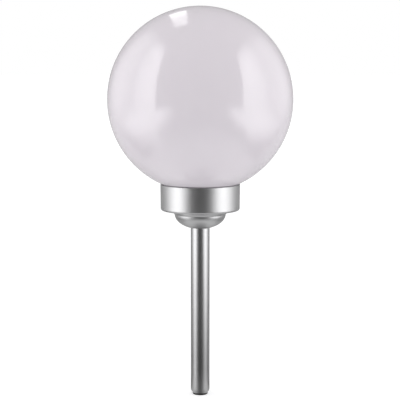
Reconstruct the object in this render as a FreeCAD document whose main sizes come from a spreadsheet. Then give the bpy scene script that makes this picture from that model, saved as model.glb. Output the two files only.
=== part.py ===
"""Garden globe light: an opal globe screwed into a silver collar on a slim metal pole.

Millimetres, +Z up, the origin in the mouth of the pole's end plug, the front of the light towards -Y.
The head slides up off the pole, the globe unscrews from the collar with its seal, and a small slide
switch in the collar's underside turns the light on and off.
"""

import FreeCAD, Part
import math
import os
import re

import Sketcher

# The driving dimensions. Every other size is worked out from these by the formulas in WORKED_OUT.
SIZES = {
    # pole and its end plug
    "pole_radius": 10.3,
    "pole_wall": 0.7,
    "pole_length": 203.3,
    "swage_height": 5.0,
    "swage_inset": 2.2,
    "key_slot_width": 3.0,
    "key_slot_depth": 9.0,
    "key_play": 0.3,
    "plug_lip_height": 1.3,
    "plug_lip_inset": 0.2,
    "plug_lip_round": 0.4,
    "plug_neck_play": 0.18,
    "plug_neck_height": 0.6,
    "plug_play": 0.1,
    "plug_roof": 2.0,
    "spike_bore_radius": 5.5,
    "spike_bore_depth": 25.0,
    # dome that holds the pole under the collar
    "dome_radius": 27.8,
    "dome_depth": 16.2,
    "dome_wall": 2.2,
    "socket_play": 0.15,
    "socket_wall": 2.35,
    "socket_cap": 1.6,
    "socket_rise": 4.4,
    "socket_hole_play": 0.3,
    # collar housing
    "boss_radius": 29.4,
    "boss_height": 4.2,
    "boss_round": 2.6,
    "housing_wall": 2.2,
    "collar_rim_radius": 43.2,
    "collar_draft": 0.25,
    "collar_height": 28.4,
    "collar_base_round": 2.5,
    "collar_rim_round": 0.5,
    "rim_land": 1.6,
    "seal_ledge_depth": 3.2,
    "seal_seat_width": 1.8,
    # screw thread between the globe's neck and the collar
    "thread_lead": 12.0,
    "thread_turns": 0.36,
    "ridge_depth": 1.7,
    "ridge_play": 0.5,
    "ridge_root": 2.6,
    "ridge_crest": 1.4,
    "ridge_sink": 0.4,
    # globe and its seal
    "globe_radius": 100.0,
    "globe_wall": 2.0,
    "globe_rim_gap": 0.58,
    "neck_wall": 2.0,
    "neck_length": 14.0,
    "neck_end_land": 0.6,
    "shoulder_play": 0.7,
    "seal_thickness": 1.6,
    "seal_play": 0.4,
    "seal_edge_play": 0.6,
    # carrier of the solar panel
    "neck_end_play": 1.0,
    "carrier_flange": 2.2,
    "carrier_play": 0.6,
    "drum_play": 2.6,
    "drum_wall": 2.0,
    "drum_round": 1.0,
    "deck_thickness": 2.2,
    # screws
    "carrier_screw_gap": 0.4,
    "dome_screw_circle": 18.5,
    "screw_radius": 1.3,
    "screw_head_radius": 2.6,
    "screw_head_height": 1.3,
    "screw_play": 0.05,
    "screw_head_play": 0.15,
    "through_play": 1.0,
    "screw_boss_radius": 3.1,
    "screw_tip_play": 0.5,
    "carrier_screw_length": 6.0,
    "dome_screw_length": 8.0,
    "board_screw_radius": 0.9,
    "board_screw_head": 1.7,
    "board_screw_cap": 1.0,
    "board_screw_length": 4.0,
    # solar panel
    "panel_board": 1.2,
    "panel_play": 0.3,
    "panel_recess": 1.4,
    "cell_thickness": 0.25,
    "cell_gap": 0.6,
    "cell_border": 1.2,
    "cover_thickness": 0.8,
    # circuit boards and what is on them
    "board_half_width": 15.5,
    "board_holder_gap": 1.2,
    "board_edge_play": 5.4,
    "board_thickness": 1.6,
    "post_height": 2.8,
    "post_radius": 2.0,
    "post_edge": 2.9,
    "post_led_step": 5.6,
    "chip_across": 6.5,
    "chip_inset": 8.6,
    "coil_start": 3.4,
    "coil_inset": 2.2,
    "can_across": 7.6,
    "can_inset": 4.4,
    "chip_length": 5.0,
    "chip_width": 4.0,
    "chip_height": 1.6,
    "coil_radius": 1.7,
    "coil_length": 7.0,
    "can_radius": 2.2,
    "can_height": 4.6,
    # light-emitting diodes
    "led_radius": 2.5,
    "led_barrel": 5.7,
    "led_flange_radius": 2.9,
    "led_flange_height": 1.0,
    "led_spread": 9.0,
    "led_inset": 3.0,
    "led_land": 1.6,
    "led_play": 0.2,
    "led_lead_side": 0.5,
    "led_lead_pitch": 2.54,
    # rechargeable cell and its holder
    "cell_radius": 7.25,
    "cell_lift": 2.15,
    "nipple_radius": 2.7,
    "nipple_length": 1.3,
    "holder_play": 0.2,
    "holder_wall": 1.15,
    "holder_corner_play": 0.75,
    "holder_end_wall": 1.5,
    "holder_roof": 0.75,
    "holder_arm_drop": 3.6,
    "holder_mouth_half_width": 6.3,
    "contact_thickness": 0.5,
    "contact_width": 9.0,
    "contact_height": 10.0,
    "leaf_reach": 4.0,
    # slide switch in the collar's underside
    "switch_length": 11.4,
    "switch_width": 6.0,
    "switch_height": 4.2,
    "switch_roof": 1.6,
    "switch_travel": 3.0,
    "switch_play": 0.3,
    "knob_length": 3.2,
    "knob_width": 2.4,
    "knob_overhang": 0.7,
    "knob_plate": 1.6,
    "knob_reach": 1.5,
    # insulated wires
    "wire_radius": 0.6,
    "wire_spread": 2.2,
    "wire_hole_play": 0.3,
    "panel_lead_row": 12.0,
    "link_lead_row": 11.4,
    "switch_lead_inset": 2.1,
    "battery_lead_edge": 1.9,
    "battery_lead_inset": 4.6,
    "battery_lead_turn": 14.0,
}

# Counts that the formulas below share with the patterns.
THREAD_STARTS = 2
CELL_STRIPS = 4

# Levels, radii and places that follow from the driving dimensions.
WORKED_OUT = {
    "pole_top": "plug_lip_height + pole_length",
    "pole_bore": "pole_radius - pole_wall",
    "swage_radius": "(swage_height * swage_height + swage_inset * swage_inset) / (2 * swage_inset)",
    "swage_top": "plug_lip_height + swage_height",
    "swage_centre": "pole_radius - swage_radius",
    "swage_inner_radius": "swage_radius - pole_wall",
    "mouth_radius": "swage_centre + sqrt(swage_inner_radius * swage_inner_radius"
                    " - swage_height * swage_height)",
    "plug_radius": "pole_bore - plug_play",
    "plug_lip_radius": "pole_radius - swage_inset - plug_lip_inset",
    "plug_neck_radius": "mouth_radius - plug_neck_play",
    "plug_length": "spike_bore_depth + plug_roof",
    "parting_level": "pole_top - socket_rise",
    "socket_bore": "pole_radius + socket_play",
    "socket_radius": "socket_bore + socket_wall",
    "socket_top": "pole_top + socket_cap",
    "socket_hole": "socket_radius + socket_hole_play",
    "base_level": "parting_level + boss_height",
    "floor_level": "base_level + housing_wall",
    "boss_floor_level": "parting_level + housing_wall",
    "boss_bore": "boss_radius - housing_wall",
    "rim_level": "base_level + collar_height",
    "collar_base_radius": "collar_rim_radius - collar_draft",
    "rim_bore": "collar_rim_radius - rim_land",
    "thread_bore_radius": "rim_bore - seal_seat_width",
    "ledge_level": "rim_level - seal_ledge_depth",
    "shoulder_level": "ledge_level + seal_thickness",
    "shoulder_radius": "rim_bore - shoulder_play",
    "neck_crest": "thread_bore_radius - ridge_play",
    "neck_radius": "neck_crest - ridge_depth",
    "neck_bore": "neck_radius - neck_wall",
    "neck_end": "shoulder_level - neck_length",
    "collar_crest": "neck_radius + ridge_play",
    "neck_ridge_level": "neck_end + neck_end_land + ridge_root / 2",
    "collar_ridge_level": f"neck_ridge_level + thread_lead / {2 * THREAD_STARTS}",
    "rim_slice": "rim_bore - globe_rim_gap",
    "globe_centre": "rim_level + sqrt(globe_radius * globe_radius - rim_slice * rim_slice)",
    "globe_bore": "globe_radius - globe_wall",
    "seal_inner": "neck_radius + seal_play",
    "seal_outer": "rim_bore - seal_edge_play",
    "flange_level": "neck_end - neck_end_play",
    "carrier_base": "flange_level - carrier_flange",
    "flange_radius": "thread_bore_radius - carrier_play",
    "drum_radius": "neck_bore - drum_play",
    "drum_bore": "drum_radius - drum_wall",
    "cell_axis_level": "socket_top + cell_lift + cell_radius",
    "deck_underside": "cell_axis_level + cell_radius + holder_play + holder_roof",
    "deck_level": "deck_underside + deck_thickness",
    "carrier_screw_circle": "drum_radius + carrier_screw_gap + screw_head_radius",
    "screw_hole": "screw_radius + screw_play",
    "holder_half_width": "cell_radius + holder_play + holder_wall",
    "board_inner_edge": "holder_half_width + board_holder_gap",
    "board_outer_edge": "drum_bore - board_edge_play",
    "board_depth": "board_outer_edge - board_inner_edge",
    "led_offset": "board_outer_edge - led_inset",
    "panel_side": "2 * (led_offset - led_radius - led_play - led_land - panel_play)",
    "panel_level": "deck_level - panel_recess",
    "cells_level": "panel_level + panel_board",
    "cover_level": "cells_level + cell_thickness",
    "board_top": "deck_underside - post_height",
    "board_underside": "board_top - board_thickness",
    "board_middle": "board_inner_edge + board_depth / 2",
    "post_row": "led_offset - post_led_step",
    "post_spread": "board_half_width - post_edge",
    "chip_row": "board_outer_edge - chip_inset",
    "coil_row": "board_inner_edge + coil_inset",
    "can_row": "board_outer_edge - can_inset",
    "holder_half_length": "sqrt((drum_bore - holder_corner_play) * (drum_bore - holder_corner_play)"
                          " - holder_half_width * holder_half_width)",
    "holder_inner_half": "holder_half_length - holder_end_wall",
    "cell_length": "2 * holder_inner_half - contact_thickness - nipple_length - leaf_reach",
    "cell_negative_end": "leaf_reach - holder_inner_half",
    "holder_bottom": "cell_axis_level - holder_arm_drop",
    "switch_circle": "(boss_radius + thread_bore_radius) / 2",
    "knob_rest": "-switch_travel / 2",
    "knob_bottom": "base_level - knob_reach",
    "carrier_pilot_depth": "carrier_screw_length + screw_head_height - carrier_flange + screw_tip_play",
    "carrier_screw_seat": "flange_level - screw_head_height",
    "knob_plate_length": "knob_length + 2 * knob_overhang",
    "knob_plate_width": "knob_width + 2 * knob_overhang",
    "strip_width": f"(panel_side - 2 * cell_border - {CELL_STRIPS - 1} * cell_gap) / {CELL_STRIPS}",
    "switch_lead_row": "board_outer_edge - switch_lead_inset",
    "battery_lead_spread": "board_half_width - battery_lead_edge",
    "battery_lead_row": "board_outer_edge - battery_lead_inset",
    "battery_lead_level": "cell_axis_level - contact_height / 2 + wire_radius",
    "link_wire_level": "(socket_top + cell_axis_level - cell_radius) / 2",
}

SHEET = "Sizes"
PARTS_FOLDER = "parts"
NEAR = 0.001
FULL_TURN = 360
QUARTER = 90
CARRIER_SCREW_ANGLES = (30, 150, 270)
DOME_SCREW_ANGLES = (90, 210, 330)
ARC_SHARE = 0.45

document = FreeCAD.newDocument("GlobeLight")
sheet = document.addObject("Spreadsheet::Sheet", SHEET)
nodes = []


def fill_sheet():
    """Put each driving dimension in a row of the sheet, with its name as the cell's alias."""
    for row, (name, size) in enumerate(SIZES.items(), 1):
        sheet.set(f"A{row}", name)
        sheet.set(f"B{row}", str(size))
        sheet.setAlias(f"B{row}", name)
    document.recompute()


def expand(formula):
    """Write a formula of size names out as an expression on the sheet's cells."""
    def cell(match):
        name = match.group(0)
        if name in WORKED_OUT:
            return "(" + expand(WORKED_OUT[name]) + ")"
        return f"{SHEET}.{name}" if name in SIZES else name
    return re.sub(r"[a-z_]+", cell, str(formula))


def value(formula):
    """The number that a formula of size names comes to."""
    return float(sheet.evalExpression(expand(formula)))


def bind(item, prop, formula):
    """Tie a property to a formula of size names."""
    item.setExpression(prop, expand(formula))


def place(item, x="0", y="0", z="0"):
    """Tie an object's place to three formulas."""
    for axis, formula in (("x", x), ("y", y), ("z", z)):
        bind(item, f"Placement.Base.{axis}", formula)


def around(radius, degrees):
    """Formulas for the x and y of a point on a circle about the light's axis."""
    return f"{radius} * cos({degrees})", f"{radius} * sin({degrees})"


def node(item, name):
    """Name a finished sub-part and keep it for the end."""
    item.Label = name
    nodes.append(item)
    return item


# ---- Part primitives and booleans ----

def primitive(kind, name, sizes, x="0", y="0", z="0", along=None):
    """A Part primitive with its sizes and place tied to formulas; along="X" lays its axis along +X."""
    item = document.addObject(f"Part::{kind}", name)
    if along == "X":
        lying = FreeCAD.Rotation(FreeCAD.Vector(0, 1, 0), QUARTER)
        item.Placement = FreeCAD.Placement(FreeCAD.Vector(), lying)
    for prop, formula in sizes.items():
        bind(item, prop, formula)
    place(item, x, y, z)
    return item


def cylinder(name, radius, height, x="0", y="0", z="0", along=None):
    """A round bar that stands on z, or lies from x along +X."""
    return primitive("Cylinder", name, {"Radius": radius, "Height": height}, x, y, z, along)


def block(name, length, width, height, x="0", y="0", z="0"):
    """A box centred on x and y that stands on z."""
    sizes = {"Length": length, "Width": width, "Height": height}
    return primitive("Box", name, sizes, f"{x} - ({length}) / 2", f"{y} - ({width}) / 2", z)


def join(name, pieces):
    """Fuse overlapping pieces into one solid."""
    item = document.addObject("Part::MultiFuse", name)
    item.Shapes = pieces
    return item


def cut(name, base, tools):
    """Take tools away from a base."""
    item = document.addObject("Part::Cut", name)
    item.Base = base
    item.Tool = tools[0] if len(tools) == 1 else join(f"{name}Tools", tools)
    return item


def common(name, pieces):
    """Keep what two pieces share."""
    item = document.addObject("Part::MultiCommon", name)
    item.Shapes = pieces
    return item


def group(name, pieces):
    """Several like solids that share one node."""
    item = document.addObject("Part::Compound", name)
    item.Links = pieces
    return item


# ---- bodies made of sketches and features ----

def new_body(name):
    """An empty body."""
    return document.addObject("PartDesign::Body", name)


def new_sketch(body, name, role, level=None):
    """A sketch on one of the body's own origin planes, lifted to a level where one is given."""
    sketch = body.newObject("Sketcher::SketchObject", name)
    plane = next(item for item in body.Origin.OriginFeatures if item.Role == role)
    sketch.AttachmentSupport = [(plane, "")]
    sketch.MapMode = "FlatFace"
    if level is not None:
        bind(sketch, "AttachmentOffset.Base.z", level)
    return sketch


def pin_point(sketch, geometry, vertex, across, up):
    """Fix a sketch point at two formulas; a point at 0 lies on the axis itself."""
    for kind, axis, formula in (("DistanceX", -2, across), ("DistanceY", -1, up)):
        if formula == "0":
            sketch.addConstraint(Sketcher.Constraint("PointOnObject", geometry, vertex, axis))
            continue
        index = sketch.addConstraint(Sketcher.Constraint(kind, -1, 1, geometry, vertex, value(formula)))
        bind(sketch, f"Constraints[{index}]", formula)


def outline(sketch, corners, arcs=None):
    """Draw a closed outline through corners; arcs maps an edge's index to (centre, radius, turn)."""
    arcs = arcs or {}
    points = [FreeCAD.Vector(value(across), value(up), 0) for across, up in corners]
    ends = []
    for index, start in enumerate(points):
        finish = points[(index + 1) % len(points)]
        if index not in arcs:
            sketch.addGeometry(Part.LineSegment(start, finish))
            ends.append((1, 2))
            continue
        centre_at, radius, turn = arcs[index]
        centre = FreeCAD.Vector(value(centre_at[0]), value(centre_at[1]), 0)
        first, last = (start, finish) if turn == "ccw" else (finish, start)
        angles = [math.atan2(point.y - centre.y, point.x - centre.x) for point in (first, last)]
        if angles[1] < angles[0]:
            angles[1] += 2 * math.pi
        circle = Part.Circle(centre, FreeCAD.Vector(0, 0, 1), value(radius))
        sketch.addGeometry(Part.ArcOfCircle(circle, angles[0], angles[1]))
        ends.append((1, 2) if turn == "ccw" else (2, 1))
    for index, (across, up) in enumerate(corners):
        following = (index + 1) % len(corners)
        sketch.addConstraint(Sketcher.Constraint(
            "Coincident", index, ends[index][1], following, ends[following][0]))
        pin_point(sketch, index, ends[index][0], across, up)
    for index, (centre_at, radius, turn) in arcs.items():
        constraint = sketch.addConstraint(Sketcher.Constraint("Radius", index, value(radius)))
        bind(sketch, f"Constraints[{constraint}]", radius)
    return sketch


def circles(sketch, spots, radius):
    """Draw a circle of one radius at each spot."""
    for index, (across, up) in enumerate(spots):
        centre = FreeCAD.Vector(value(across), value(up), 0)
        sketch.addGeometry(Part.Circle(centre, FreeCAD.Vector(0, 0, 1), value(radius)))
        pin_point(sketch, index, 3, across, up)
        constraint = sketch.addConstraint(Sketcher.Constraint("Radius", index, value(radius)))
        bind(sketch, f"Constraints[{constraint}]", radius)
    return sketch


def revolve(body, name, corners, arcs=None):
    """Turn an outline of (radius, level) corners about the light's axis."""
    sketch = outline(new_sketch(body, f"{name}Outline", "XZ_Plane"), corners, arcs)
    feature = body.newObject("PartDesign::Revolution", name)
    feature.Profile = sketch
    feature.ReferenceAxis = (sketch, ["V_Axis"])
    feature.Angle = FULL_TURN
    document.recompute()
    return feature


def pad(body, name, sketch, height):
    """Raise a sketch by a height."""
    feature = body.newObject("PartDesign::Pad", name)
    feature.Profile = sketch
    bind(feature, "Length", height)
    document.recompute()
    return feature


def pocket(body, name, sketch, depth):
    """Sink a sketch down by a depth, and make sure that it took material away."""
    before = body.Shape.Volume
    feature = body.newObject("PartDesign::Pocket", name)
    feature.Profile = sketch
    bind(feature, "Length", depth)
    document.recompute()
    if not body.Shape.Volume < before - NEAR:
        raise ValueError(f"{name} took nothing away")
    return feature


def round_rings(body, name, base, rings, radius):
    """Round the ring edges of a feature that have the given (radius, level) pairs."""
    names = []
    for ring_radius, level in rings:
        for index, edge in enumerate(base.Shape.Edges, 1):
            curve = edge.Curve
            if not isinstance(curve, Part.Circle):
                continue
            same_radius = abs(curve.Radius - value(ring_radius)) < NEAR
            if same_radius and abs(curve.Center.z - value(level)) < NEAR:
                names.append(f"Edge{index}")
    feature = body.newObject("PartDesign::Fillet", name)
    feature.Base = (base, names)
    bind(feature, "Radius", radius)
    document.recompute()
    return feature


def thread(body, name, root, crest, level):
    """Helical ridges, one for each start, from a tapered section at a level on the +X side."""
    half_root = "ridge_root / 2"
    half_crest = "ridge_crest / 2"
    corners = [
        (root, f"{level} - {half_root}"),
        (crest, f"{level} - {half_crest}"),
        (crest, f"{level} + {half_crest}"),
        (root, f"{level} + {half_root}"),
    ]
    sketch = outline(new_sketch(body, f"{name}Section", "XZ_Plane"), corners)
    ridge = body.newObject("PartDesign::AdditiveHelix", name)
    ridge.Profile = sketch
    ridge.ReferenceAxis = (sketch, ["V_Axis"])
    ridge.Mode = "pitch-turns-angle"
    bind(ridge, "Pitch", "thread_lead")
    bind(ridge, "Turns", "thread_turns")
    document.recompute()
    starts = body.newObject("PartDesign::PolarPattern", f"{name}Starts")
    starts.Originals = [ridge]
    starts.Axis = (sketch, ["V_Axis"])
    starts.Angle = FULL_TURN
    starts.Occurrences = THREAD_STARTS
    body.Tip = starts
    document.recompute()
    return starts


# ---- wires ----

def tube(points, radius):
    """A round wire along straight runs joined by tangent arcs; prints its radii and checks its volume."""
    corners = [FreeCAD.Vector(*point) for point in points]
    runs = [(after - before).Length for before, after in zip(corners, corners[1:])]
    edges = []
    radii = []
    start = corners[0]
    for index in range(1, len(corners) - 1):
        corner = corners[index]
        back = (corners[index - 1] - corner).normalize()
        onward = (corners[index + 1] - corner).normalize()
        half_turn = (math.pi - back.getAngle(onward)) / 2
        setback = ARC_SHARE * min(runs[index - 1], runs[index])
        bend = setback / math.tan(half_turn)
        arc_start = corner + back * setback
        arc_end = corner + onward * setback
        middle = (back + onward).normalize()
        arc_middle = corner + middle * (bend / math.cos(half_turn) - bend)
        edges.append(Part.LineSegment(start, arc_start).toShape())
        edges.append(Part.Arc(arc_start, arc_middle, arc_end).toShape())
        radii.append(round(bend, 1))
        start = arc_end
    edges.append(Part.LineSegment(start, corners[-1]).toShape())
    path = Part.Wire(edges)
    section = Part.Wire(Part.makeCircle(radius, corners[0], corners[1] - corners[0]))
    solid = path.makePipeShell([section], True, True)
    expected = math.pi * radius * radius * path.Length
    print(f"wire: bends {radii}, volume {solid.Volume:.2f}, section times length {expected:.2f}")
    return solid


def wires(name, routes):
    """Insulated wires along routes of formulas, as one group."""
    item = document.addObject("Part::Feature", name)
    solids = [tube([[value(part) for part in point] for point in route], value("wire_radius"))
              for route in routes]
    item.Shape = Part.makeCompound(solids)
    item.Placement = FreeCAD.Placement()
    return node(item, name)


# ---- the pole ----

def pole_tube():
    """Thin steel tube, its lower end swaged in round the plug, with a key slot at its upper end."""
    body = new_body("PoleTube")
    corners = [
        ("mouth_radius", "plug_lip_height"),
        ("pole_radius - swage_inset", "plug_lip_height"),
        ("pole_radius", "swage_top"),
        ("pole_radius", "pole_top"),
        ("pole_bore", "pole_top"),
        ("pole_bore", "swage_top"),
    ]
    centre = ("swage_centre", "swage_top")
    arcs = {1: (centre, "swage_radius", "ccw"), 5: (centre, "swage_inner_radius", "cw")}
    revolve(body, "PoleWall", corners, arcs)
    slot = new_sketch(body, "KeySlotOutline", "XY_Plane", "pole_top")
    corners = [
        ("-key_slot_width / 2", "pole_bore / 2"),
        ("key_slot_width / 2", "pole_bore / 2"),
        ("key_slot_width / 2", "pole_radius + pole_wall"),
        ("-key_slot_width / 2", "pole_radius + pole_wall"),
    ]
    pocket(body, "KeySlot", outline(slot, corners), "key_slot_depth")
    return node(body, "pole_tube")


def pole_end_plug():
    """Black moulded plug that the tube's end is rolled onto, bored for the stem of a ground spike."""
    body = new_body("PoleEndPlug")
    corners = [
        ("spike_bore_radius", "0"),
        ("plug_lip_radius", "0"),
        ("plug_lip_radius", "plug_lip_height"),
        ("plug_neck_radius", "plug_lip_height"),
        ("plug_neck_radius", "plug_lip_height + plug_neck_height"),
        ("plug_radius", "swage_top"),
        ("plug_radius", "plug_length"),
        ("0", "plug_length"),
        ("0", "spike_bore_depth"),
        ("spike_bore_radius", "spike_bore_depth"),
    ]
    turned = revolve(body, "PlugBody", corners)
    round_rings(body, "PlugLipRound", turned, [("plug_lip_radius", "0")], "plug_lip_round")
    return node(body, "pole_end_plug")


# ---- the dome and the collar ----

def half_ellipsoid(name, radius, depth):
    """The lower half of a flattened ball, hung from the parting plane."""
    item = primitive("Ellipsoid", name, {"Radius1": depth, "Radius2": radius}, z="parting_level")
    item.Angle1 = -QUARTER
    item.Angle2 = 0
    return item


def pole_socket_dome():
    """Silver moulded dome with a blind socket for the pole, a key rib and three screw bosses."""
    outside = half_ellipsoid("DomeOutside", "dome_radius", "dome_depth")
    inside = half_ellipsoid("DomeInside", "dome_radius - dome_wall", "dome_depth - dome_wall")
    shell = cut("DomeShell", outside, [inside])
    posts = [cylinder("Socket", "socket_radius", "socket_top - parting_level + dome_depth",
                      z="parting_level - dome_depth")]
    holes = [cylinder("SocketBore", "socket_bore", "socket_rise + dome_depth",
                      z="parting_level - dome_depth")]
    for angle in DOME_SCREW_ANGLES:
        x, y = around("dome_screw_circle", angle)
        posts.append(cylinder(f"DomeBoss{angle}", "screw_boss_radius", "dome_depth",
                              x, y, "parting_level - dome_depth"))
        holes.append(cylinder(f"DomePilot{angle}", "screw_hole", "dome_screw_length + screw_tip_play",
                              x, y, "boss_floor_level - dome_screw_length - screw_tip_play"))
    envelope_outside = half_ellipsoid("EnvelopeOutside", "dome_radius", "dome_depth")
    envelope_socket = cylinder("EnvelopeSocket", "socket_radius", "socket_top - parting_level + dome_wall",
                               z="parting_level - dome_wall")
    envelope = join("DomeEnvelope", [envelope_outside, envelope_socket])
    trimmed = common("DomeTrimmed", [join("DomeSolid", [shell] + posts), envelope])
    bored = cut("DomeBored", trimmed, holes)
    rib_outer = "socket_bore + socket_wall / 2"
    rib = block("KeyRib", "key_slot_width - 2 * key_play", f"{rib_outer} - pole_bore",
                "key_slot_depth - 2 * key_play", y=f"({rib_outer} + pole_bore) / 2",
                z="pole_top - key_slot_depth + 2 * key_play")
    return node(join("Dome", [bored, rib]), "pole_socket_dome")


def dome_screws():
    """Three pan-head screws, put in from inside the collar."""
    screws = []
    for angle in DOME_SCREW_ANGLES:
        x, y = around("dome_screw_circle", angle)
        shank = cylinder(f"DomeShank{angle}", "screw_radius", "dome_screw_length",
                         x, y, "boss_floor_level - dome_screw_length")
        head = cylinder(f"DomeHead{angle}", "screw_head_radius", "screw_head_height",
                        x, y, "boss_floor_level")
        screws.append(join(f"DomeScrew{angle}", [shank, head]))
    return node(group("DomeScrews", screws), "dome_screws")


def collar_housing():
    """Silver moulded cup that takes the globe's neck, with the boss that the dome closes."""
    body = new_body("CollarHousing")
    corners = [
        ("socket_hole", "parting_level"),
        ("boss_radius", "parting_level"),
        ("boss_radius", "base_level"),
        ("collar_base_radius", "base_level"),
        ("collar_rim_radius", "rim_level"),
        ("rim_bore", "rim_level"),
        ("rim_bore", "ledge_level"),
        ("thread_bore_radius", "ledge_level"),
        ("thread_bore_radius", "floor_level"),
        ("boss_bore", "floor_level"),
        ("boss_bore", "boss_floor_level"),
        ("socket_hole", "boss_floor_level"),
    ]
    cup = revolve(body, "Cup", corners)
    boss = round_rings(body, "BossRound", cup, [("boss_radius", "parting_level")], "boss_round")
    base = round_rings(body, "BaseRound", boss, [("collar_base_radius", "base_level")], "collar_base_round")
    round_rings(body, "RimRound", base, [("collar_rim_radius", "rim_level"), ("rim_bore", "rim_level")],
                "collar_rim_round")
    thread(body, "CollarThread", "thread_bore_radius + ridge_sink", "collar_crest", "collar_ridge_level")
    carrier_spots = [around("carrier_screw_circle", angle) for angle in CARRIER_SCREW_ANGLES]
    dome_spots = [around("dome_screw_circle", angle) for angle in DOME_SCREW_ANGLES]
    bosses = circles(new_sketch(body, "BossRings", "XY_Plane", "floor_level"), carrier_spots,
                     "screw_boss_radius")
    pad(body, "CarrierBosses", bosses, "carrier_base - floor_level")
    pilots = circles(new_sketch(body, "PilotRings", "XY_Plane", "carrier_base"), carrier_spots, "screw_hole")
    pocket(body, "CarrierPilots", pilots, "carrier_pilot_depth")
    clear = circles(new_sketch(body, "ClearRings", "XY_Plane", "boss_floor_level"), dome_spots,
                    "screw_hole + screw_play")
    pocket(body, "DomeScrewHoles", clear, "housing_wall + through_play")
    slot_half = "(knob_length + switch_travel) / 2 + switch_play"
    slot_side = "knob_width / 2 + switch_play"
    corners = [
        (f"-({slot_half})", f"switch_circle - ({slot_side})"),
        (f"{slot_half}", f"switch_circle - ({slot_side})"),
        (f"{slot_half}", f"switch_circle + {slot_side}"),
        (f"-({slot_half})", f"switch_circle + {slot_side}"),
    ]
    slot = outline(new_sketch(body, "SwitchSlotOutline", "XY_Plane", "floor_level"), corners)
    pocket(body, "SwitchSlot", slot, "housing_wall + through_play")
    return node(body, "collar_housing")


# ---- the globe and its seal ----

def globe_shade():
    """Opal plastic ball with a flat shoulder and a short neck that carries the thread."""
    body = new_body("GlobeShade")
    shoulder_rise = "sqrt(globe_radius * globe_radius - shoulder_radius * shoulder_radius)"
    bore_rise = "sqrt(globe_bore * globe_bore - neck_bore * neck_bore)"
    corners = [
        ("neck_bore", "neck_end"),
        ("neck_radius", "neck_end"),
        ("neck_radius", "shoulder_level"),
        ("shoulder_radius", "shoulder_level"),
        ("shoulder_radius", f"globe_centre - {shoulder_rise}"),
        ("0", "globe_centre + globe_radius"),
        ("0", "globe_centre + globe_bore"),
        ("neck_bore", f"globe_centre - {bore_rise}"),
    ]
    centre = ("0", "globe_centre")
    revolve(body, "Ball", corners, {4: (centre, "globe_radius", "ccw"), 6: (centre, "globe_bore", "cw")})
    thread(body, "NeckThread", "neck_radius - ridge_sink", "neck_crest", "neck_ridge_level")
    return node(body, "globe_shade")


def globe_seal():
    """Flat rubber ring that the globe's shoulder presses onto the ledge in the collar."""
    body = new_body("GlobeSeal")
    corners = [
        ("seal_inner", "ledge_level"),
        ("seal_outer", "ledge_level"),
        ("seal_outer", "shoulder_level"),
        ("seal_inner", "shoulder_level"),
    ]
    revolve(body, "Ring", corners)
    return node(body, "globe_seal")


# ---- the carrier and the solar panel ----

def four_spots(across, up):
    """The four mirror places of a point about the X and Y axes."""
    return [(f"{side} * ({across})", f"{row} * ({up})") for side in (1, -1) for row in (1, -1)]


def panel_carrier():
    """Black moulded hat: a flange on the collar's bosses and a drum whose deck holds the panel."""
    body = new_body("PanelCarrier")
    corners = [
        ("drum_bore", "carrier_base"),
        ("flange_radius", "carrier_base"),
        ("flange_radius", "flange_level"),
        ("drum_radius", "flange_level"),
        ("drum_radius", "deck_level"),
        ("0", "deck_level"),
        ("0", "deck_underside"),
        ("drum_bore", "deck_underside"),
    ]
    hat = revolve(body, "Hat", corners)
    round_rings(body, "DrumRound", hat, [("drum_radius", "deck_level")], "drum_round")
    post_spots = four_spots("post_spread", "post_row")
    posts = circles(new_sketch(body, "PostRings", "XY_Plane", "board_top"), post_spots, "post_radius")
    pad(body, "BoardPosts", posts, "post_height")
    pilots = circles(new_sketch(body, "PostPilotRings", "XY_Plane", "board_top + post_height"), post_spots,
                     "board_screw_radius + screw_play")
    pocket(body, "PostPilots", pilots, "post_height")
    screw_spots = [around("carrier_screw_circle", angle) for angle in CARRIER_SCREW_ANGLES]
    heads = circles(new_sketch(body, "HeadRings", "XY_Plane", "flange_level"), screw_spots,
                    "screw_head_radius + screw_head_play")
    pocket(body, "HeadRecesses", heads, "screw_head_height")
    shanks = circles(new_sketch(body, "ShankRings", "XY_Plane", "flange_level"), screw_spots,
                     "screw_hole + screw_play")
    pocket(body, "ShankHoles", shanks, "carrier_flange")
    half = "(panel_side / 2 + panel_play)"
    corners = [(f"-{half}", f"-{half}"), (half, f"-{half}"), (half, half), (f"-{half}", half)]
    recess = outline(new_sketch(body, "RecessOutline", "XY_Plane", "deck_level"), corners)
    pocket(body, "PanelRecess", recess, "panel_recess")
    barrels = circles(new_sketch(body, "LedRings", "XY_Plane", "deck_level"),
                      four_spots("led_spread", "led_offset"), "led_radius + led_play")
    pocket(body, "LedHoles", barrels, "deck_thickness")
    leads = [("wire_spread", "panel_lead_row"), ("-wire_spread", "panel_lead_row")]
    lead_rings = circles(new_sketch(body, "LeadRings", "XY_Plane", "deck_level"), leads,
                         "wire_radius + wire_hole_play")
    pocket(body, "LeadHoles", lead_rings, "deck_thickness")
    return node(body, "panel_carrier")


def carrier_screws():
    """Three pan-head screws, sunk in the carrier's flange, that hold it on the collar's bosses."""
    screws = []
    for angle in CARRIER_SCREW_ANGLES:
        x, y = around("carrier_screw_circle", angle)
        shank = cylinder(f"CarrierShank{angle}", "screw_radius", "carrier_screw_length",
                         x, y, "carrier_screw_seat - carrier_screw_length")
        head = cylinder(f"CarrierHead{angle}", "screw_head_radius", "screw_head_height",
                        x, y, "carrier_screw_seat")
        screws.append(join(f"CarrierScrew{angle}", [shank, head]))
    return node(group("CarrierScrews", screws), "carrier_screws")


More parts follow.
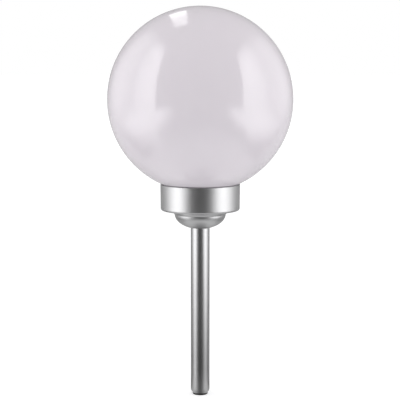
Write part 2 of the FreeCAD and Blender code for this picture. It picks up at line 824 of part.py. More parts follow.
def solar_panel():
    """A square board, its silicon strips and the clear sheet over them."""
    board = block("PanelBoard", "panel_side", "panel_side", "panel_board", z="panel_level")
    node(board, "solar_panel_board")
    strips = []
    for index in range(CELL_STRIPS):
        steps = index - (CELL_STRIPS - 1) / 2
        strips.append(block(f"Strip{index}", "strip_width", "panel_side - 2 * cell_border", "cell_thickness",
                            x=f"{steps} * (strip_width + cell_gap)", z="cells_level"))
    node(group("Strips", strips), "solar_cells")
    cover = block("PanelCover", "panel_side", "panel_side", "cover_thickness", z="cover_level")
    node(cover, "panel_cover")


# ---- boards and electronics ----

def circuit_board(name, side):
    """A drilled board under the deck, on the side of the cell that the sign gives."""
    plate = block(f"{name}_plate", "2 * board_half_width", "board_depth", "board_thickness",
                  y=f"{side} * board_middle", z="board_underside")
    drills = [cylinder(f"{name}_drill_{index}", "board_screw_radius + screw_play", "board_thickness",
                       f"{across} * post_spread", f"{side} * post_row", "board_underside")
              for index, across in enumerate((1, -1))]
    return node(cut(f"{name}_drilled", plate, drills), name)


def board_screws():
    """Four small screws, put up through the boards into the carrier's posts."""
    screws = []
    for index, (x, y) in enumerate(four_spots("post_spread", "post_row")):
        shank = cylinder(f"BoardShank{index}", "board_screw_radius", "board_screw_length",
                         x, y, "board_underside")
        head = cylinder(f"BoardHead{index}", "board_screw_head", "board_screw_cap",
                        x, y, "board_underside - board_screw_cap")
        screws.append(join(f"BoardScrew{index}", [shank, head]))
    return node(group("BoardScrews", screws), "board_screws")


def leds():
    """Four light-emitting diodes: flange, barrel and domed end, on two leads each."""
    lamps = []
    for index, (x, y) in enumerate(four_spots("led_spread", "led_offset")):
        flange = cylinder(f"LedFlange{index}", "led_flange_radius", "led_flange_height",
                          x, y, "deck_underside - led_flange_height")
        barrel = cylinder(f"LedBarrel{index}", "led_radius", "led_barrel", x, y, "deck_underside")
        end = primitive("Sphere", f"LedEnd{index}", {"Radius": "led_radius"},
                        x, y, "deck_underside + led_barrel")
        leads = [block(f"LedLead{index}{number}", "led_lead_side", "led_lead_side",
                       "deck_underside - board_top", x=f"{x} + {step} * led_lead_pitch / 2", y=y,
                       z="board_top")
                 for number, step in enumerate((1, -1))]
        lamps.append(join(f"Led{index}", [flange, barrel, end] + leads))
    return node(group("Leds", lamps), "leds")


def board_components():
    """The driver chip, the coil that raises the voltage and the smoothing capacitor."""
    chip = block("Chip", "chip_length", "chip_width", "chip_height", x="-chip_across", y="chip_row",
                 z="board_underside - chip_height")
    node(chip, "driver_chip")
    coil = cylinder("Coil", "coil_radius", "coil_length", x="coil_start", y="coil_row",
                    z="board_underside - coil_radius", along="X")
    node(coil, "boost_coil")
    can = cylinder("Can", "can_radius", "can_height", x="can_across", y="can_row",
                   z="board_underside - can_height")
    node(can, "capacitor")


# ---- rechargeable cell ----

def battery_holder():
    """Trough under the deck, open below, whose two arms close round the cell past its middle."""
    outside = block("HolderOutside", "2 * holder_half_length", "2 * holder_half_width",
                    "deck_underside - holder_bottom", z="holder_bottom")
    trough = cylinder("HolderTrough", "cell_radius + holder_play", "2 * holder_inner_half",
                      x="-holder_inner_half", z="cell_axis_level", along="X")
    mouth = block("HolderMouth", "2 * holder_inner_half", "2 * holder_mouth_half_width",
                  "cell_axis_level - holder_bottom", z="holder_bottom")
    return node(cut("Holder", outside, [trough, mouth]), "battery_holder")


def battery_cell():
    """A small round rechargeable cell with its positive nipple towards +X."""
    can = cylinder("CellCan", "cell_radius", "cell_length", x="cell_negative_end", z="cell_axis_level",
                   along="X")
    nipple = cylinder("CellNipple", "nipple_radius", "nipple_length",
                      x="cell_negative_end + cell_length", z="cell_axis_level", along="X")
    return node(join("Cell", [can, nipple]), "battery_cell")


def battery_contacts():
    """A flat plate at the nipple and a bent spring leaf at the cell's flat end."""
    plate = block("PositivePlate", "contact_thickness", "contact_width", "contact_height",
                  x="holder_inner_half - contact_thickness / 2", z="cell_axis_level - contact_height / 2")
    node(plate, "battery_contact_positive")
    wall = "-holder_inner_half"
    low = "cell_axis_level - contact_height / 2"
    high = "cell_axis_level + contact_height / 2"
    corners = [
        (wall, low),
        (wall, high),
        (f"{wall} + contact_thickness", high),
        (f"{wall} + leaf_reach", "cell_axis_level + contact_thickness / 2"),
        (f"{wall} + leaf_reach", "cell_axis_level - contact_thickness / 2"),
        (f"{wall} + 3 * contact_thickness", f"{low} + contact_thickness"),
        (f"{wall} + 2 * contact_thickness", f"{low} + 2 * contact_thickness"),
        (f"{wall} + leaf_reach - 2 * contact_thickness", "cell_axis_level"),
        (f"{wall} + contact_thickness", f"{high} - 3 * contact_thickness"),
        (f"{wall} + contact_thickness", low),
    ]
    body = new_body("NegativeLeaf")
    sketch = outline(new_sketch(body, "LeafOutline", "XZ_Plane", "-contact_width / 2"), corners)
    pad(body, "Leaf", sketch, "contact_width")
    node(body, "battery_contact_negative")


# ---- slide switch ----

def switch_body():
    """Black case on the collar's floor over the slot, hollow for the knob's plate."""
    case = block("SwitchCase", "switch_length", "switch_width", "switch_height",
                 y="switch_circle", z="floor_level")
    hollow = block("SwitchHollow", "knob_plate_length + switch_travel + 2 * switch_play",
                   "knob_plate_width + 2 * switch_play", "switch_height - switch_roof",
                   y="switch_circle", z="floor_level")
    return node(cut("Switch", case, [hollow]), "switch_body")


def switch_knob():
    """The knob under the collar, its plate kept in by the slot, at rest in the off position."""
    plate = block("KnobPlate", "knob_plate_length", "knob_plate_width", "knob_plate",
                  x="knob_rest", y="switch_circle", z="floor_level + switch_play")
    stem_height = "floor_level + switch_play + knob_plate - knob_bottom"
    stem = block("KnobStem", "knob_length", "knob_width", stem_height, x="knob_rest", y="switch_circle",
                 z="knob_bottom")
    return node(join("Knob", [plate, stem]), "switch_knob")


# ---- wiring ----

def battery_leads():
    """From the two contacts, past the holder's arms, up to the control board."""
    routes = []
    for side in (1, -1):
        contact = f"{side} * (holder_inner_half - contact_thickness / 2)"
        landing = f"{side} * battery_lead_spread"
        routes.append([
            (contact, "contact_width / 2", "battery_lead_level"),
            (contact, "battery_lead_turn", "battery_lead_level"),
            (landing, "battery_lead_row", "battery_lead_level"),
            (landing, "battery_lead_row", "board_underside"),
        ])
    return wires("battery_leads", routes)


def switch_leads():
    """From the switch's inner side, inward and up to the control board."""
    level = "floor_level + switch_height - switch_roof"
    routes = []
    for side in (1, -1):
        across = f"{side} * wire_spread"
        routes.append([
            (across, "switch_circle - switch_width / 2", level),
            (across, "switch_lead_row", level),
            (across, "switch_lead_row", "board_underside"),
        ])
    return wires("switch_leads", routes)


def link_leads():
    """From the control board, under the cell, to the board on the other side."""
    routes = []
    for side in (1, -1):
        across = f"{side} * wire_spread"
        routes.append([
            (across, "link_lead_row", "board_underside"),
            (across, "link_lead_row", "link_wire_level"),
            (across, "-link_lead_row", "link_wire_level"),
            (across, "-link_lead_row", "board_underside"),
        ])
    return wires("link_leads", routes)


def panel_leads():
    """Straight from the solar panel, through the deck, to the control board."""
    leads = [cylinder(f"PanelLead{index}", "wire_radius", "panel_level - board_top",
                      x=f"{side} * wire_spread", y="panel_lead_row", z="board_top")
             for index, side in enumerate((1, -1))]
    return node(group("PanelLeads", leads), "panel_leads")


def check_document():
    """Stop where an object failed or a sub-part's shape isn't a valid solid."""
    document.recompute()
    for item in document.Objects:
        if "Invalid" in item.State or "Error" in item.State:
            raise ValueError(f"{item.Label} failed: {item.State}")
    for item in nodes:
        shape = item.Shape
        if shape.isNull() or not shape.isValid() or not shape.Solids:
            raise ValueError(f"{item.Label} has no valid solid")


def write_parts():
    """Write each sub-part to its own file."""
    os.makedirs(PARTS_FOLDER, exist_ok=True)
    for item in nodes:
        item.Shape.exportStep(f"{PARTS_FOLDER}/{item.Label}.step")
        box = item.Shape.BoundBox
        print(f"{item.Label}: {len(item.Shape.Solids)} solids, {item.Shape.Volume:.1f} mm3,"
              f" z {box.ZMin:.2f} to {box.ZMax:.2f}")


fill_sheet()
pole_tube()
pole_end_plug()
pole_socket_dome()
dome_screws()
collar_housing()
globe_shade()
globe_seal()
panel_carrier()
carrier_screws()
solar_panel()
circuit_board("control_board", 1)
circuit_board("led_board", -1)
board_screws()
leds()
board_components()
battery_holder()
battery_cell()
battery_contacts()
switch_body()
switch_knob()
battery_leads()
switch_leads()
link_leads()
panel_leads()
check_document()
write_parts()
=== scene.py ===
"""Garden globe light: an opal ball screwed into a silver collar on a slim steel pole, seen on a pale floor.

Lengths are in metres; MM turns a size in millimetres into metres. The light stands on its pole with the
origin in the mouth of the end plug, +Z up and the front towards -Y.
"""

import math

import bmesh
import bpy
import numpy as np
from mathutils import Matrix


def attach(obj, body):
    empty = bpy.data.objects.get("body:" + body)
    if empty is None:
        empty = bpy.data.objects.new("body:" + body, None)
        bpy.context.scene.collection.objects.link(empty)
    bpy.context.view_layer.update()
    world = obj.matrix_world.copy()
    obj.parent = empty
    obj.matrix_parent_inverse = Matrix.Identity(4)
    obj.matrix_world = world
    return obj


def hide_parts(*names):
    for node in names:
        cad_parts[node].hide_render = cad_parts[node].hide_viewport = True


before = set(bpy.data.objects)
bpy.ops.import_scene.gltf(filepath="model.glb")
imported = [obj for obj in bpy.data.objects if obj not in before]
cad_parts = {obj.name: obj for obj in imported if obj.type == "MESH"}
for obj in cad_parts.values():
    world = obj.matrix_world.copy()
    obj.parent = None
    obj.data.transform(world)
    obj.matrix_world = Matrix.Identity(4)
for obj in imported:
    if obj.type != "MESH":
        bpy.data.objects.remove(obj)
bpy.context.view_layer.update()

# ---- The end plug ----
# A plug moulded in black polypropylene. It is pressed into the pole's lower end, the tube is rolled in
# over its lip, and the stem of a ground spike slides into its bore.

MM = 0.001
FULL_TURN = 2 * math.pi
CREASE = math.radians(28)
MERGED_WITHIN = 0.0005 * MM
ROUND_STEPS = 7
ROUND_RELIEF = 0.06 * MM

PLUG_LIP_RADIUS = 8.3 * MM
PLUG_LIP_HEIGHT = 1.4 * MM
PLUG_NECK_RADIUS = 6.8 * MM
PLUG_NECK_HEIGHT = 0.5 * MM
PLUG_RADIUS = 9.5 * MM
PLUG_SHOULDER = 6.3 * MM
SPIKE_BORE_RADIUS = 5.5 * MM
SPIKE_BORE_DEPTH = 25.0 * MM
PLUG_ROUND = 0.4 * MM
PLUG_BLACK = "#121213"


def rounded(corners):
    """Points of a profile whose corners (across, up, round) are rounded: each corner is left at the
    distance where a circle of its round touches both sides, round over the tangent of half the angle
    between them, and followed along that circle. A corner of round 0 stays. A point of relief, a little
    way along each side, keeps the side's shading flat."""
    points = []
    count = len(corners)
    for index, (across, up, radius) in enumerate(corners):
        corner = np.array([across, up])
        if radius == 0:
            points.append(corner)
            continue
        back = np.array(corners[index - 1][:2]) - corner
        onward = np.array(corners[(index + 1) % count][:2]) - corner
        back_length, onward_length = np.linalg.norm(back), np.linalg.norm(onward)
        back, onward = back / back_length, onward / onward_length
        half = math.acos(np.clip(back @ onward, -1, 1)) / 2
        setback = radius / math.tan(half)
        middle = (back + onward) / np.linalg.norm(back + onward)
        centre = corner + middle * radius / math.sin(half)
        first = corner + back * setback - centre
        last = corner + onward * setback - centre
        sweep = math.pi - 2 * half
        turn = np.linspace(0, sweep, ROUND_STEPS)[:, None]
        arc = centre + (np.sin(sweep - turn) * first + np.sin(turn) * last) / math.sin(sweep)
        points.append(corner + back * min(setback + ROUND_RELIEF, back_length * 0.49))
        points.extend(arc)
        points.append(corner + onward * min(setback + ROUND_RELIEF, onward_length * 0.49))
    return np.array(points)


def filled_in(points, longest):
    """The same profile with points added evenly on each side longer than the longest allowed."""
    out = []
    for start, end in zip(points, np.roll(points, -1, axis=0)):
        pieces = max(1, math.ceil(np.linalg.norm(end - start) / longest))
        out.append(start + (end - start) * (np.arange(pieces) / pieces)[:, None])
    return np.vstack(out)


def placed(name, data):
    """A new object in the scene that shows a mesh or holds a camera."""
    piece = bpy.data.objects.new(name, data)
    bpy.context.scene.collection.objects.link(piece)
    return piece


def creased(mesh):
    """Shade a mesh smooth but for its creases."""
    mesh.shade_smooth()
    mesh.set_sharp_from_angle(angle=CREASE)
    return mesh


def cleaned(mesh, work):
    """Merge a mesh's doubles, then do some work on it as a bmesh."""
    shell = bmesh.new()
    shell.from_mesh(mesh)
    bmesh.ops.remove_doubles(shell, verts=shell.verts, dist=MERGED_WITHIN)
    work(shell)
    shell.to_mesh(mesh)
    shell.free()


def make_piece(name, *surfaces):
    """An object of one or more surfaces, each its points (n by 3) and faces. Doubles are merged and the
    faces are turned outwards."""
    points, faces, first = [], [], 0
    for part_points, part_faces in surfaces:
        points.append(part_points)
        faces += [[index + first for index in face] for face in part_faces]
        first += len(part_points)
    mesh = bpy.data.meshes.new(name)
    mesh.from_pydata(np.vstack(points).tolist(), [], faces)
    cleaned(mesh, lambda shell: bmesh.ops.recalc_face_normals(shell, faces=shell.faces))
    return placed(name, creased(mesh))


def grid_faces(rows, columns, ring=True):
    """The quads between neighbouring points of a grid that is written row after row, as an array with a
    row for each gap between rows. Round a ring the last column meets the first."""
    row, column = np.meshgrid(np.arange(rows - 1), np.arange(columns if ring else columns - 1),
                              indexing="ij")
    onward = (column + 1) % columns
    return np.stack([row * columns + column, row * columns + onward,
                     (row + 1) * columns + onward, (row + 1) * columns + column], axis=-1)


def turned(profile, segments):
    """Points and faces of a closed profile turned about the light's axis: x = r cos a, y = r sin a,
    z = the profile's height, for a round the full turn. Rows on the axis close to a single point."""
    angles = np.linspace(0, FULL_TURN, segments, endpoint=False)
    radius, height = profile[:, 0:1], profile[:, 1:2]
    points = np.stack([radius * np.cos(angles), radius * np.sin(angles),
                       height + 0 * angles], axis=-1).reshape(-1, 3)
    quads = grid_faces(len(profile) + 1, segments) % len(points)
    on_axis = profile[:, 0] < 1e-9
    return points, quads[~(on_axis & np.roll(on_axis, -1))].reshape(-1, 4).tolist()


def finish_piece(piece, material, slot, *nodes, body="head"):
    """Give a piece its material, and name the body it rides on and what it replaces. The slot is not used.
    """
    piece.data.materials.append(material)
    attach(piece, body)
    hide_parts(*nodes)


def linear(colour, share=1.0):
    """A colour written as an sRGB hex value, turned to linear light and dimmed or raised to a share."""
    parts = [int(colour[start:start + 2], 16) / 255 for start in (1, 3, 5)]
    return [share * (part / 12.92 if part <= 0.04045 else ((part + 0.055) / 1.055) ** 2.4)
            for part in parts] + [1.0]


def join_up(tree, node, **links):
    """Set or link a node's inputs, named with _ for a space, or by number, as _0. A node given as a
    source stands for its first output in use. Returns the node."""
    for name, source in links.items():
        key = int(name[1:]) if name[0] == "_" else name.replace("_", " ")
        if isinstance(source, bpy.types.Node):
            source = next(output for output in source.outputs if output.enabled)
        if isinstance(source, bpy.types.NodeSocket):
            tree.links.new(source, node.inputs[key])
        else:
            node.inputs[key].default_value = source
    return node


def add(tree, kind, settings=None, **links):
    """Add a node of a kind with its settings, and set or link its inputs."""
    node = tree.nodes.new(f"ShaderNode{kind}")
    for name, setting in (settings or {}).items():
        setattr(node, name, setting)
    return join_up(tree, node, **links)


def new_material(name):
    """A material with its node tree, its Principled shader and the place on the object."""
    material = bpy.data.materials.new(name)
    material.use_nodes = True
    tree = material.node_tree
    return material, tree, tree.nodes["Principled BSDF"], add(tree, "TexCoord").outputs["Object"]


def moulded_black(name, colour, grain=0.35, roughness=0.5):
    """Black plastic out of a spark-eroded mould: the mould's grain leaves low even bumps that break the
    gloss up, and the surface is a little duller in its pits. The grain is real size in mm."""
    material, tree, shader, place = new_material(name)
    pits = add(tree, "TexNoise", Vector=place, Scale=1 / (grain * MM), Detail=3.0, Roughness=0.6)
    flow = add(tree, "TexNoise", Vector=place, Scale=1 / (14 * MM), Detail=2.0)
    shade = add(tree, "Mix", {"data_type": "RGBA"}, _0=flow, _6=linear(colour), _7=linear(colour, 1.5))
    gloss = add(tree, "MapRange", Value=pits, _3=roughness - 0.08, _4=roughness + 0.12)
    bump = add(tree, "Bump", Strength=0.35, Distance=0.03 * MM, Height=pits)
    join_up(tree, shader, Base_Color=shade, Roughness=gloss, Normal=bump)
    return material


plug_black = moulded_black("black_polypropylene", PLUG_BLACK)
plug_profile = rounded([
    (SPIKE_BORE_RADIUS, 0, 0.5 * MM),
    (PLUG_LIP_RADIUS, 0, PLUG_ROUND),
    (PLUG_LIP_RADIUS, PLUG_LIP_HEIGHT, 0.15 * MM),
    (PLUG_NECK_RADIUS, PLUG_LIP_HEIGHT, 0.1 * MM),
    (PLUG_NECK_RADIUS, PLUG_LIP_HEIGHT + PLUG_NECK_HEIGHT, 0.2 * MM),
    (PLUG_RADIUS, PLUG_SHOULDER, 0.6 * MM),
    (PLUG_RADIUS, 27.0 * MM, 0.6 * MM),
    (0, 27.0 * MM, 0),
    (0, SPIKE_BORE_DEPTH, 0),
    (SPIKE_BORE_RADIUS, SPIKE_BORE_DEPTH, 0.8 * MM),
])
plug = make_piece("pole_end_plug_moulding", turned(filled_in(plug_profile, 3 * MM), 96))
finish_piece(plug, plug_black, "black_plastic", "pole_end_plug", body="pole")

# ---- The pole ----
# Thin welded steel tube with a satin plated finish. Its lower end is swaged in over the plug, and a slot
# in its upper end drops over the key in the socket above.

POLE_RADIUS = 10.3 * MM
POLE_WALL = 0.7 * MM
POLE_TOP = 204.6 * MM
SWAGE_HEIGHT = 4.9 * MM
SWAGE_INSET = 2.5 * MM
SWAGE_RADIUS = (SWAGE_HEIGHT ** 2 + SWAGE_INSET ** 2) / (2 * SWAGE_INSET)
KEY_SLOT_WIDTH = 3.0 * MM
KEY_SLOT_DEPTH = 9.0 * MM
POLE_SEGMENTS = 180
STEEL = "#ABABAC"


def slotted_tube():
    """The pole's outer wall: a column of circles whose radius follows the swage's arc and then stays,
    x = r(z) sin a, y = r(z) cos a. Its angles a start at the slot's edge, and the faces between the
    slot's two edges and above its foot are left out; the wall's thickness is added inwards."""
    half_slot = math.asin(KEY_SLOT_WIDTH / 2 / POLE_RADIUS)
    slot_steps = 6
    angles = np.concatenate([np.linspace(-half_slot, half_slot, slot_steps, endpoint=False),
                             np.linspace(half_slot, FULL_TURN - half_slot, POLE_SEGMENTS, endpoint=False)])
    swage_top = PLUG_LIP_HEIGHT + SWAGE_HEIGHT
    swage_turn = np.linspace(math.asin(SWAGE_HEIGHT / SWAGE_RADIUS), 0, 14)
    swage = np.column_stack([POLE_RADIUS - SWAGE_RADIUS * (1 - np.cos(swage_turn)),
                             swage_top - SWAGE_RADIUS * np.sin(swage_turn)])
    slot_foot = POLE_TOP - KEY_SLOT_DEPTH
    straight = np.concatenate([np.linspace(swage_top, slot_foot, 40)[1:],
                               np.linspace(slot_foot, POLE_TOP, 5)[1:]])
    column = np.vstack([swage, np.column_stack([np.full(len(straight), POLE_RADIUS), straight])])
    points = np.stack([column[:, 0:1] * np.sin(angles), column[:, 0:1] * np.cos(angles),
                       column[:, 1:2] + 0 * angles], axis=-1).reshape(-1, 3)
    in_slot = (column[:-1, 1:2] > slot_foot - 1e-9) & (np.arange(len(angles)) < slot_steps)
    return points, grid_faces(len(column), len(angles))[~in_slot].reshape(-1, 4).tolist()


def satin_steel(name, colour, roughness=0.37):
    """Steel tube, belt-polished lengthwise and plated: long fine lines that only show as a soft drag in
    the highlights, and faint cloudy patches where the plating took a little differently. The real lines
    are about 0.05 mm apart and are drawn 0.3 mm apart, so that they show."""
    material, tree, shader, place = new_material(name)
    along = add(tree, "Mapping", Vector=place, Scale=(1 / (0.3 * MM), 1 / (0.3 * MM), 1 / (400 * MM)))
    lines = add(tree, "TexNoise", Vector=along, Scale=1.0, Detail=4.0, Roughness=0.7)
    cloud = add(tree, "TexNoise", Vector=place, Scale=1 / (25 * MM), Detail=3.0, Roughness=0.5)
    shade = add(tree, "Mix", {"data_type": "RGBA"}, _0=cloud, _6=linear(colour), _7=linear(colour, 0.92))
    gloss = add(tree, "MapRange", Value=lines, _3=roughness - 0.05, _4=roughness + 0.07)
    bump = add(tree, "Bump", Strength=0.04, Distance=0.01 * MM, Height=lines)
    join_up(tree, shader, Base_Color=shade, Metallic=1.0, Roughness=gloss, Normal=bump)
    return material


pole_steel = satin_steel("satin_plated_steel", STEEL)
pole = make_piece("pole_tube_steel", slotted_tube())
wall = pole.modifiers.new("wall", "SOLIDIFY")
wall.thickness = POLE_WALL
wall.offset = -1
wall.use_even_offset = True
finish_piece(pole, pole_steel, "pole_steel", "pole_tube", body="pole")

# ---- The dome ----
# A flattened half ball moulded in ABS and sprayed silver, like the collar above it. It has a blind
# socket for the pole, a key rib, and three bosses for the screws that hold it to the collar.

DOME_RADIUS = 27.8 * MM
DOME_DEPTH = 16.2 * MM
DOME_WALL = 2.2 * MM
PARTING_LEVEL = 200.2 * MM
SOCKET_BORE = 10.45 * MM
SOCKET_RADIUS = 12.8 * MM
SOCKET_TOP = 206.2 * MM
DOME_SCREW_CIRCLE = 18.5 * MM
DOME_SCREW_ANGLES = (90, 210, 330)
DOME_SCREW_LENGTH = 8.0 * MM
BOSS_FLOOR_LEVEL = 202.4 * MM
SCREW_BOSS_RADIUS = 3.1 * MM
SCREW_HOLE_RADIUS = 1.35 * MM
HOLE_SPARE = 0.5 * MM
KEY_PLAY = 0.6 * MM
KEY_RIB_DEPTH = 2.0 * MM
KEY_RIB_AT = 10.6 * MM
SILVER = "#ACACAD"


def quarter_ellipse(radius, depth, inner, steps):
    """The dome's curve from its rim to the socket: r = radius cos a, z = -depth sin a below the parting
    plane, from a = 0 at the rim to where r is the inner radius."""
    turn = np.linspace(0, math.acos(inner / radius), steps)
    return np.column_stack([radius * np.cos(turn), PARTING_LEVEL - depth * np.sin(turn)])


def dome_profile():
    """Down the outside, up the socket's bore, over its cap, down its outside and back along the inside."""
    outside = quarter_ellipse(DOME_RADIUS, DOME_DEPTH, SOCKET_BORE, 60)[1:-1]
    inside = quarter_ellipse(DOME_RADIUS - DOME_WALL, DOME_DEPTH - DOME_WALL, SOCKET_RADIUS, 40)[::-1]
    mouth = outside[-1, 1]
    edge = 0.25 * MM
    rim = np.array([(DOME_RADIUS - DOME_WALL, PARTING_LEVEL), (DOME_RADIUS - edge, PARTING_LEVEL),
                    (DOME_RADIUS - edge * 0.3, PARTING_LEVEL - edge * 0.3),
                    (DOME_RADIUS, PARTING_LEVEL - edge)])
    bore = np.array([(SOCKET_BORE, mouth + edge), (SOCKET_BORE, POLE_TOP), (0, POLE_TOP), (0, SOCKET_TOP),
                     (SOCKET_RADIUS - 2 * edge, SOCKET_TOP), (SOCKET_RADIUS, SOCKET_TOP - 2 * edge)])
    outside = outside[outside[:, 1] < PARTING_LEVEL - edge * 1.2]
    return np.vstack([rim, outside, bore, inside[:-1]])


def screw_boss(x, y, top, bottom_at, depth, segments=32):
    """An upright tube round a pilot hole: outer and inner wall, a flat top, a floor to the hole, and a
    lower end that follows the shell, given by bottom_at(x, y)."""
    angles = np.linspace(0, FULL_TURN, segments, endpoint=False)
    ring = np.column_stack([np.cos(angles), np.sin(angles)])
    foot = ring * SCREW_BOSS_RADIUS + (x, y)
    rows = [(0, top - depth), (SCREW_HOLE_RADIUS, top - depth), (SCREW_HOLE_RADIUS, top),
            (SCREW_BOSS_RADIUS, top), (SCREW_BOSS_RADIUS, bottom_at(foot[:, 0], foot[:, 1])),
            (0, bottom_at(x, y))]
    points = [np.column_stack([ring * reach + (x, y), np.zeros(segments) + level]) for reach, level in rows]
    return np.vstack(points), grid_faces(len(rows), segments).reshape(-1, 4).tolist()


def dome_skin(x, y):
    """The level half way through the dome's wall at a place: the ellipse's
    -depth sqrt(1 - (r / radius)^2)."""
    share = (x ** 2 + y ** 2) / (DOME_RADIUS - DOME_WALL / 2) ** 2
    return PARTING_LEVEL - (DOME_DEPTH - DOME_WALL / 2) * np.sqrt(np.maximum(0, 1 - share))


def block(length, width, height, x, y, z):
    """A box of a size centred on x and y that stands on z: its corners are the middle plus or minus half
    of each side."""
    corners = np.array([(a, b, c) for c in (0, 1)
                        for a, b in ((-1, -1), (1, -1), (1, 1), (-1, 1))], float)
    points = corners * (length / 2, width / 2, height) + (x, y, z)
    faces = [[3, 2, 1, 0], [4, 5, 6, 7]]
    faces += [[side, (side + 1) % 4, (side + 1) % 4 + 4, side + 4] for side in range(4)]
    return points, faces


def around(radius, degrees):
    """The x and y of a point on a circle about the light's axis."""
    return radius * math.cos(math.radians(degrees)), radius * math.sin(math.radians(degrees))


def silver_paint(name, colour, roughness=0.42):
    """Aluminium-flake paint sprayed on moulded ABS: it throws broad soft highlights, the flakes sparkle
    a little within them, and the film has a faint orange peel. Real flakes are 0.03 mm across and are
    drawn 0.25 mm across, so that they show."""
    material, tree, shader, place = new_material(name)
    flakes = add(tree, "TexVoronoi", Vector=place, Scale=1 / (0.25 * MM))
    peel = add(tree, "TexNoise", Vector=place, Scale=1 / (2.5 * MM), Detail=2.0)
    cloud = add(tree, "TexNoise", Vector=place, Scale=1 / (30 * MM), Detail=2.0)
    shade = add(tree, "Mix", {"data_type": "RGBA"}, _0=cloud, _6=linear(colour), _7=linear(colour, 0.95))
    gloss = add(tree, "MapRange", Value=flakes.outputs["Color"], _3=roughness - 0.05, _4=roughness + 0.05)
    flake_bump = add(tree, "Bump", Strength=0.06, Distance=0.02 * MM, Height=flakes.outputs["Distance"])
    peel_bump = add(tree, "Bump", Strength=0.15, Distance=0.02 * MM, Height=peel, Normal=flake_bump)
    join_up(tree, shader, Base_Color=shade, Metallic=1.0, Roughness=gloss, Normal=peel_bump)
    return material


silver = silver_paint("silver_painted_abs", SILVER)
dome_hole_depth = DOME_SCREW_LENGTH + HOLE_SPARE - (BOSS_FLOOR_LEVEL - PARTING_LEVEL)
dome_bosses = [screw_boss(*around(DOME_SCREW_CIRCLE, angle), PARTING_LEVEL, dome_skin, dome_hole_depth)
               for angle in DOME_SCREW_ANGLES]
key_rib = block(KEY_SLOT_WIDTH - KEY_PLAY, KEY_RIB_DEPTH, KEY_SLOT_DEPTH - KEY_PLAY,
                0, KEY_RIB_AT, POLE_TOP - KEY_SLOT_DEPTH + KEY_PLAY)
dome = make_piece("dome_moulding", turned(dome_profile(), 160), *dome_bosses, key_rib)
finish_piece(dome, silver, "silver_plastic", "pole_socket_dome")

# ---- The collar ----
# A cup moulded in ABS and sprayed silver, with the boss under it that the dome closes. Inside are two
# ridges of screw thread for the globe, a ledge for its seal and three bosses for the carrier's screws.

BOSS_RADIUS = 29.4 * MM
BASE_LEVEL = 204.4 * MM
HOUSING_WALL = 2.2 * MM
FLOOR_LEVEL = BASE_LEVEL + HOUSING_WALL
COLLAR_BASE_RADIUS = 42.95 * MM
COLLAR_RIM_RADIUS = 43.2 * MM
RIM_LEVEL = 232.8 * MM
RIM_BORE = 41.6 * MM
LEDGE_LEVEL = 229.6 * MM
THREAD_BORE = 39.8 * MM
BOSS_BORE = BOSS_RADIUS - HOUSING_WALL
SOCKET_HOLE = 13.1 * MM
THREAD_LEAD = 12.0 * MM
THREAD_TURNS = 0.36
RIDGE_ROOT = 2.6 * MM
RIDGE_CREST = 1.4 * MM
NECK_RIDGE_LEVEL = 219.1 * MM
NECK_RADIUS = 37.6 * MM
NECK_CREST = 39.3 * MM
CARRIER_BASE = 214.0 * MM
CARRIER_SCREW_CIRCLE = 36.0 * MM
CARRIER_SCREW_ANGLES = (30, 150, 270)
CARRIER_HOLE_DEPTH = 5.6 * MM
RIDGE_BITE = 0.4 * MM
COLLAR_RIDGE_GAP = 0.5 * MM
SWITCH_CIRCLE = 34.6 * MM
SWITCH_SLOT_LENGTH = 6.8 * MM
SWITCH_SLOT_WIDTH = 3.0 * MM


def capped_sweep(rings):
    """Points and faces of a four-sided section swept along rings (steps by 4 by 3), closed at its ends."""
    last = (len(rings) - 1) * 4
    faces = grid_faces(len(rings), 4).reshape(-1, 4).tolist()
    return rings.reshape(-1, 3), faces + [[0, 1, 2, 3], [last + 3, last + 2, last + 1, last]]


def thread_ridge(root, crest, level, start, steps=72):
    """A ridge of screw thread: a trapezium of root and crest width swept up a helix, z rising by the
    lead for each full turn, which grows from and fades to nothing over the first and last eighth."""
    share = np.linspace(0, 1, steps)
    angles = start + share * THREAD_TURNS * FULL_TURN
    middle = level + share * THREAD_TURNS * THREAD_LEAD
    grown = np.clip(np.minimum(share, 1 - share) * 8, 0.02, 1)
    grown = np.sin(grown * math.pi / 2)
    crest_at = root + (crest - root) * grown
    section = [(np.full(steps, root), -RIDGE_ROOT / 2), (crest_at, -RIDGE_CREST / 2),
               (crest_at, RIDGE_CREST / 2), (np.full(steps, root), RIDGE_ROOT / 2)]
    corners = [np.column_stack([radius * np.cos(angles), radius * np.sin(angles), middle + rise])
               for radius, rise in section]
    return capped_sweep(np.stack(corners, axis=1))


def moved(surface, x, y, z=0):
    """A surface moved to a place."""
    points, faces = surface
    return points + (x, y, z), faces


def bar(x, y, low, high, radius, segments=24):
    """A round bar that stands at x and y between two levels, its ends closed by rings on its axis."""
    return moved(turned(np.array([(0, low), (radius, low), (radius, high), (0, high)]), segments), x, y)


def cut_out(piece, *tools):
    """Take tool shapes away from a piece, and keep the result as its mesh."""
    cutter = make_piece("cutter", *tools)
    opening = piece.modifiers.new("opening", "BOOLEAN")
    opening.operation = "DIFFERENCE"
    opening.solver = "EXACT"
    opening.object = cutter
    view = bpy.context.evaluated_depsgraph_get()
    cut_mesh = creased(bpy.data.meshes.new_from_object(piece.evaluated_get(view)))
    piece.modifiers.clear()
    piece.data = cut_mesh
    piece.data.name = piece.name
    bpy.data.objects.remove(cutter)


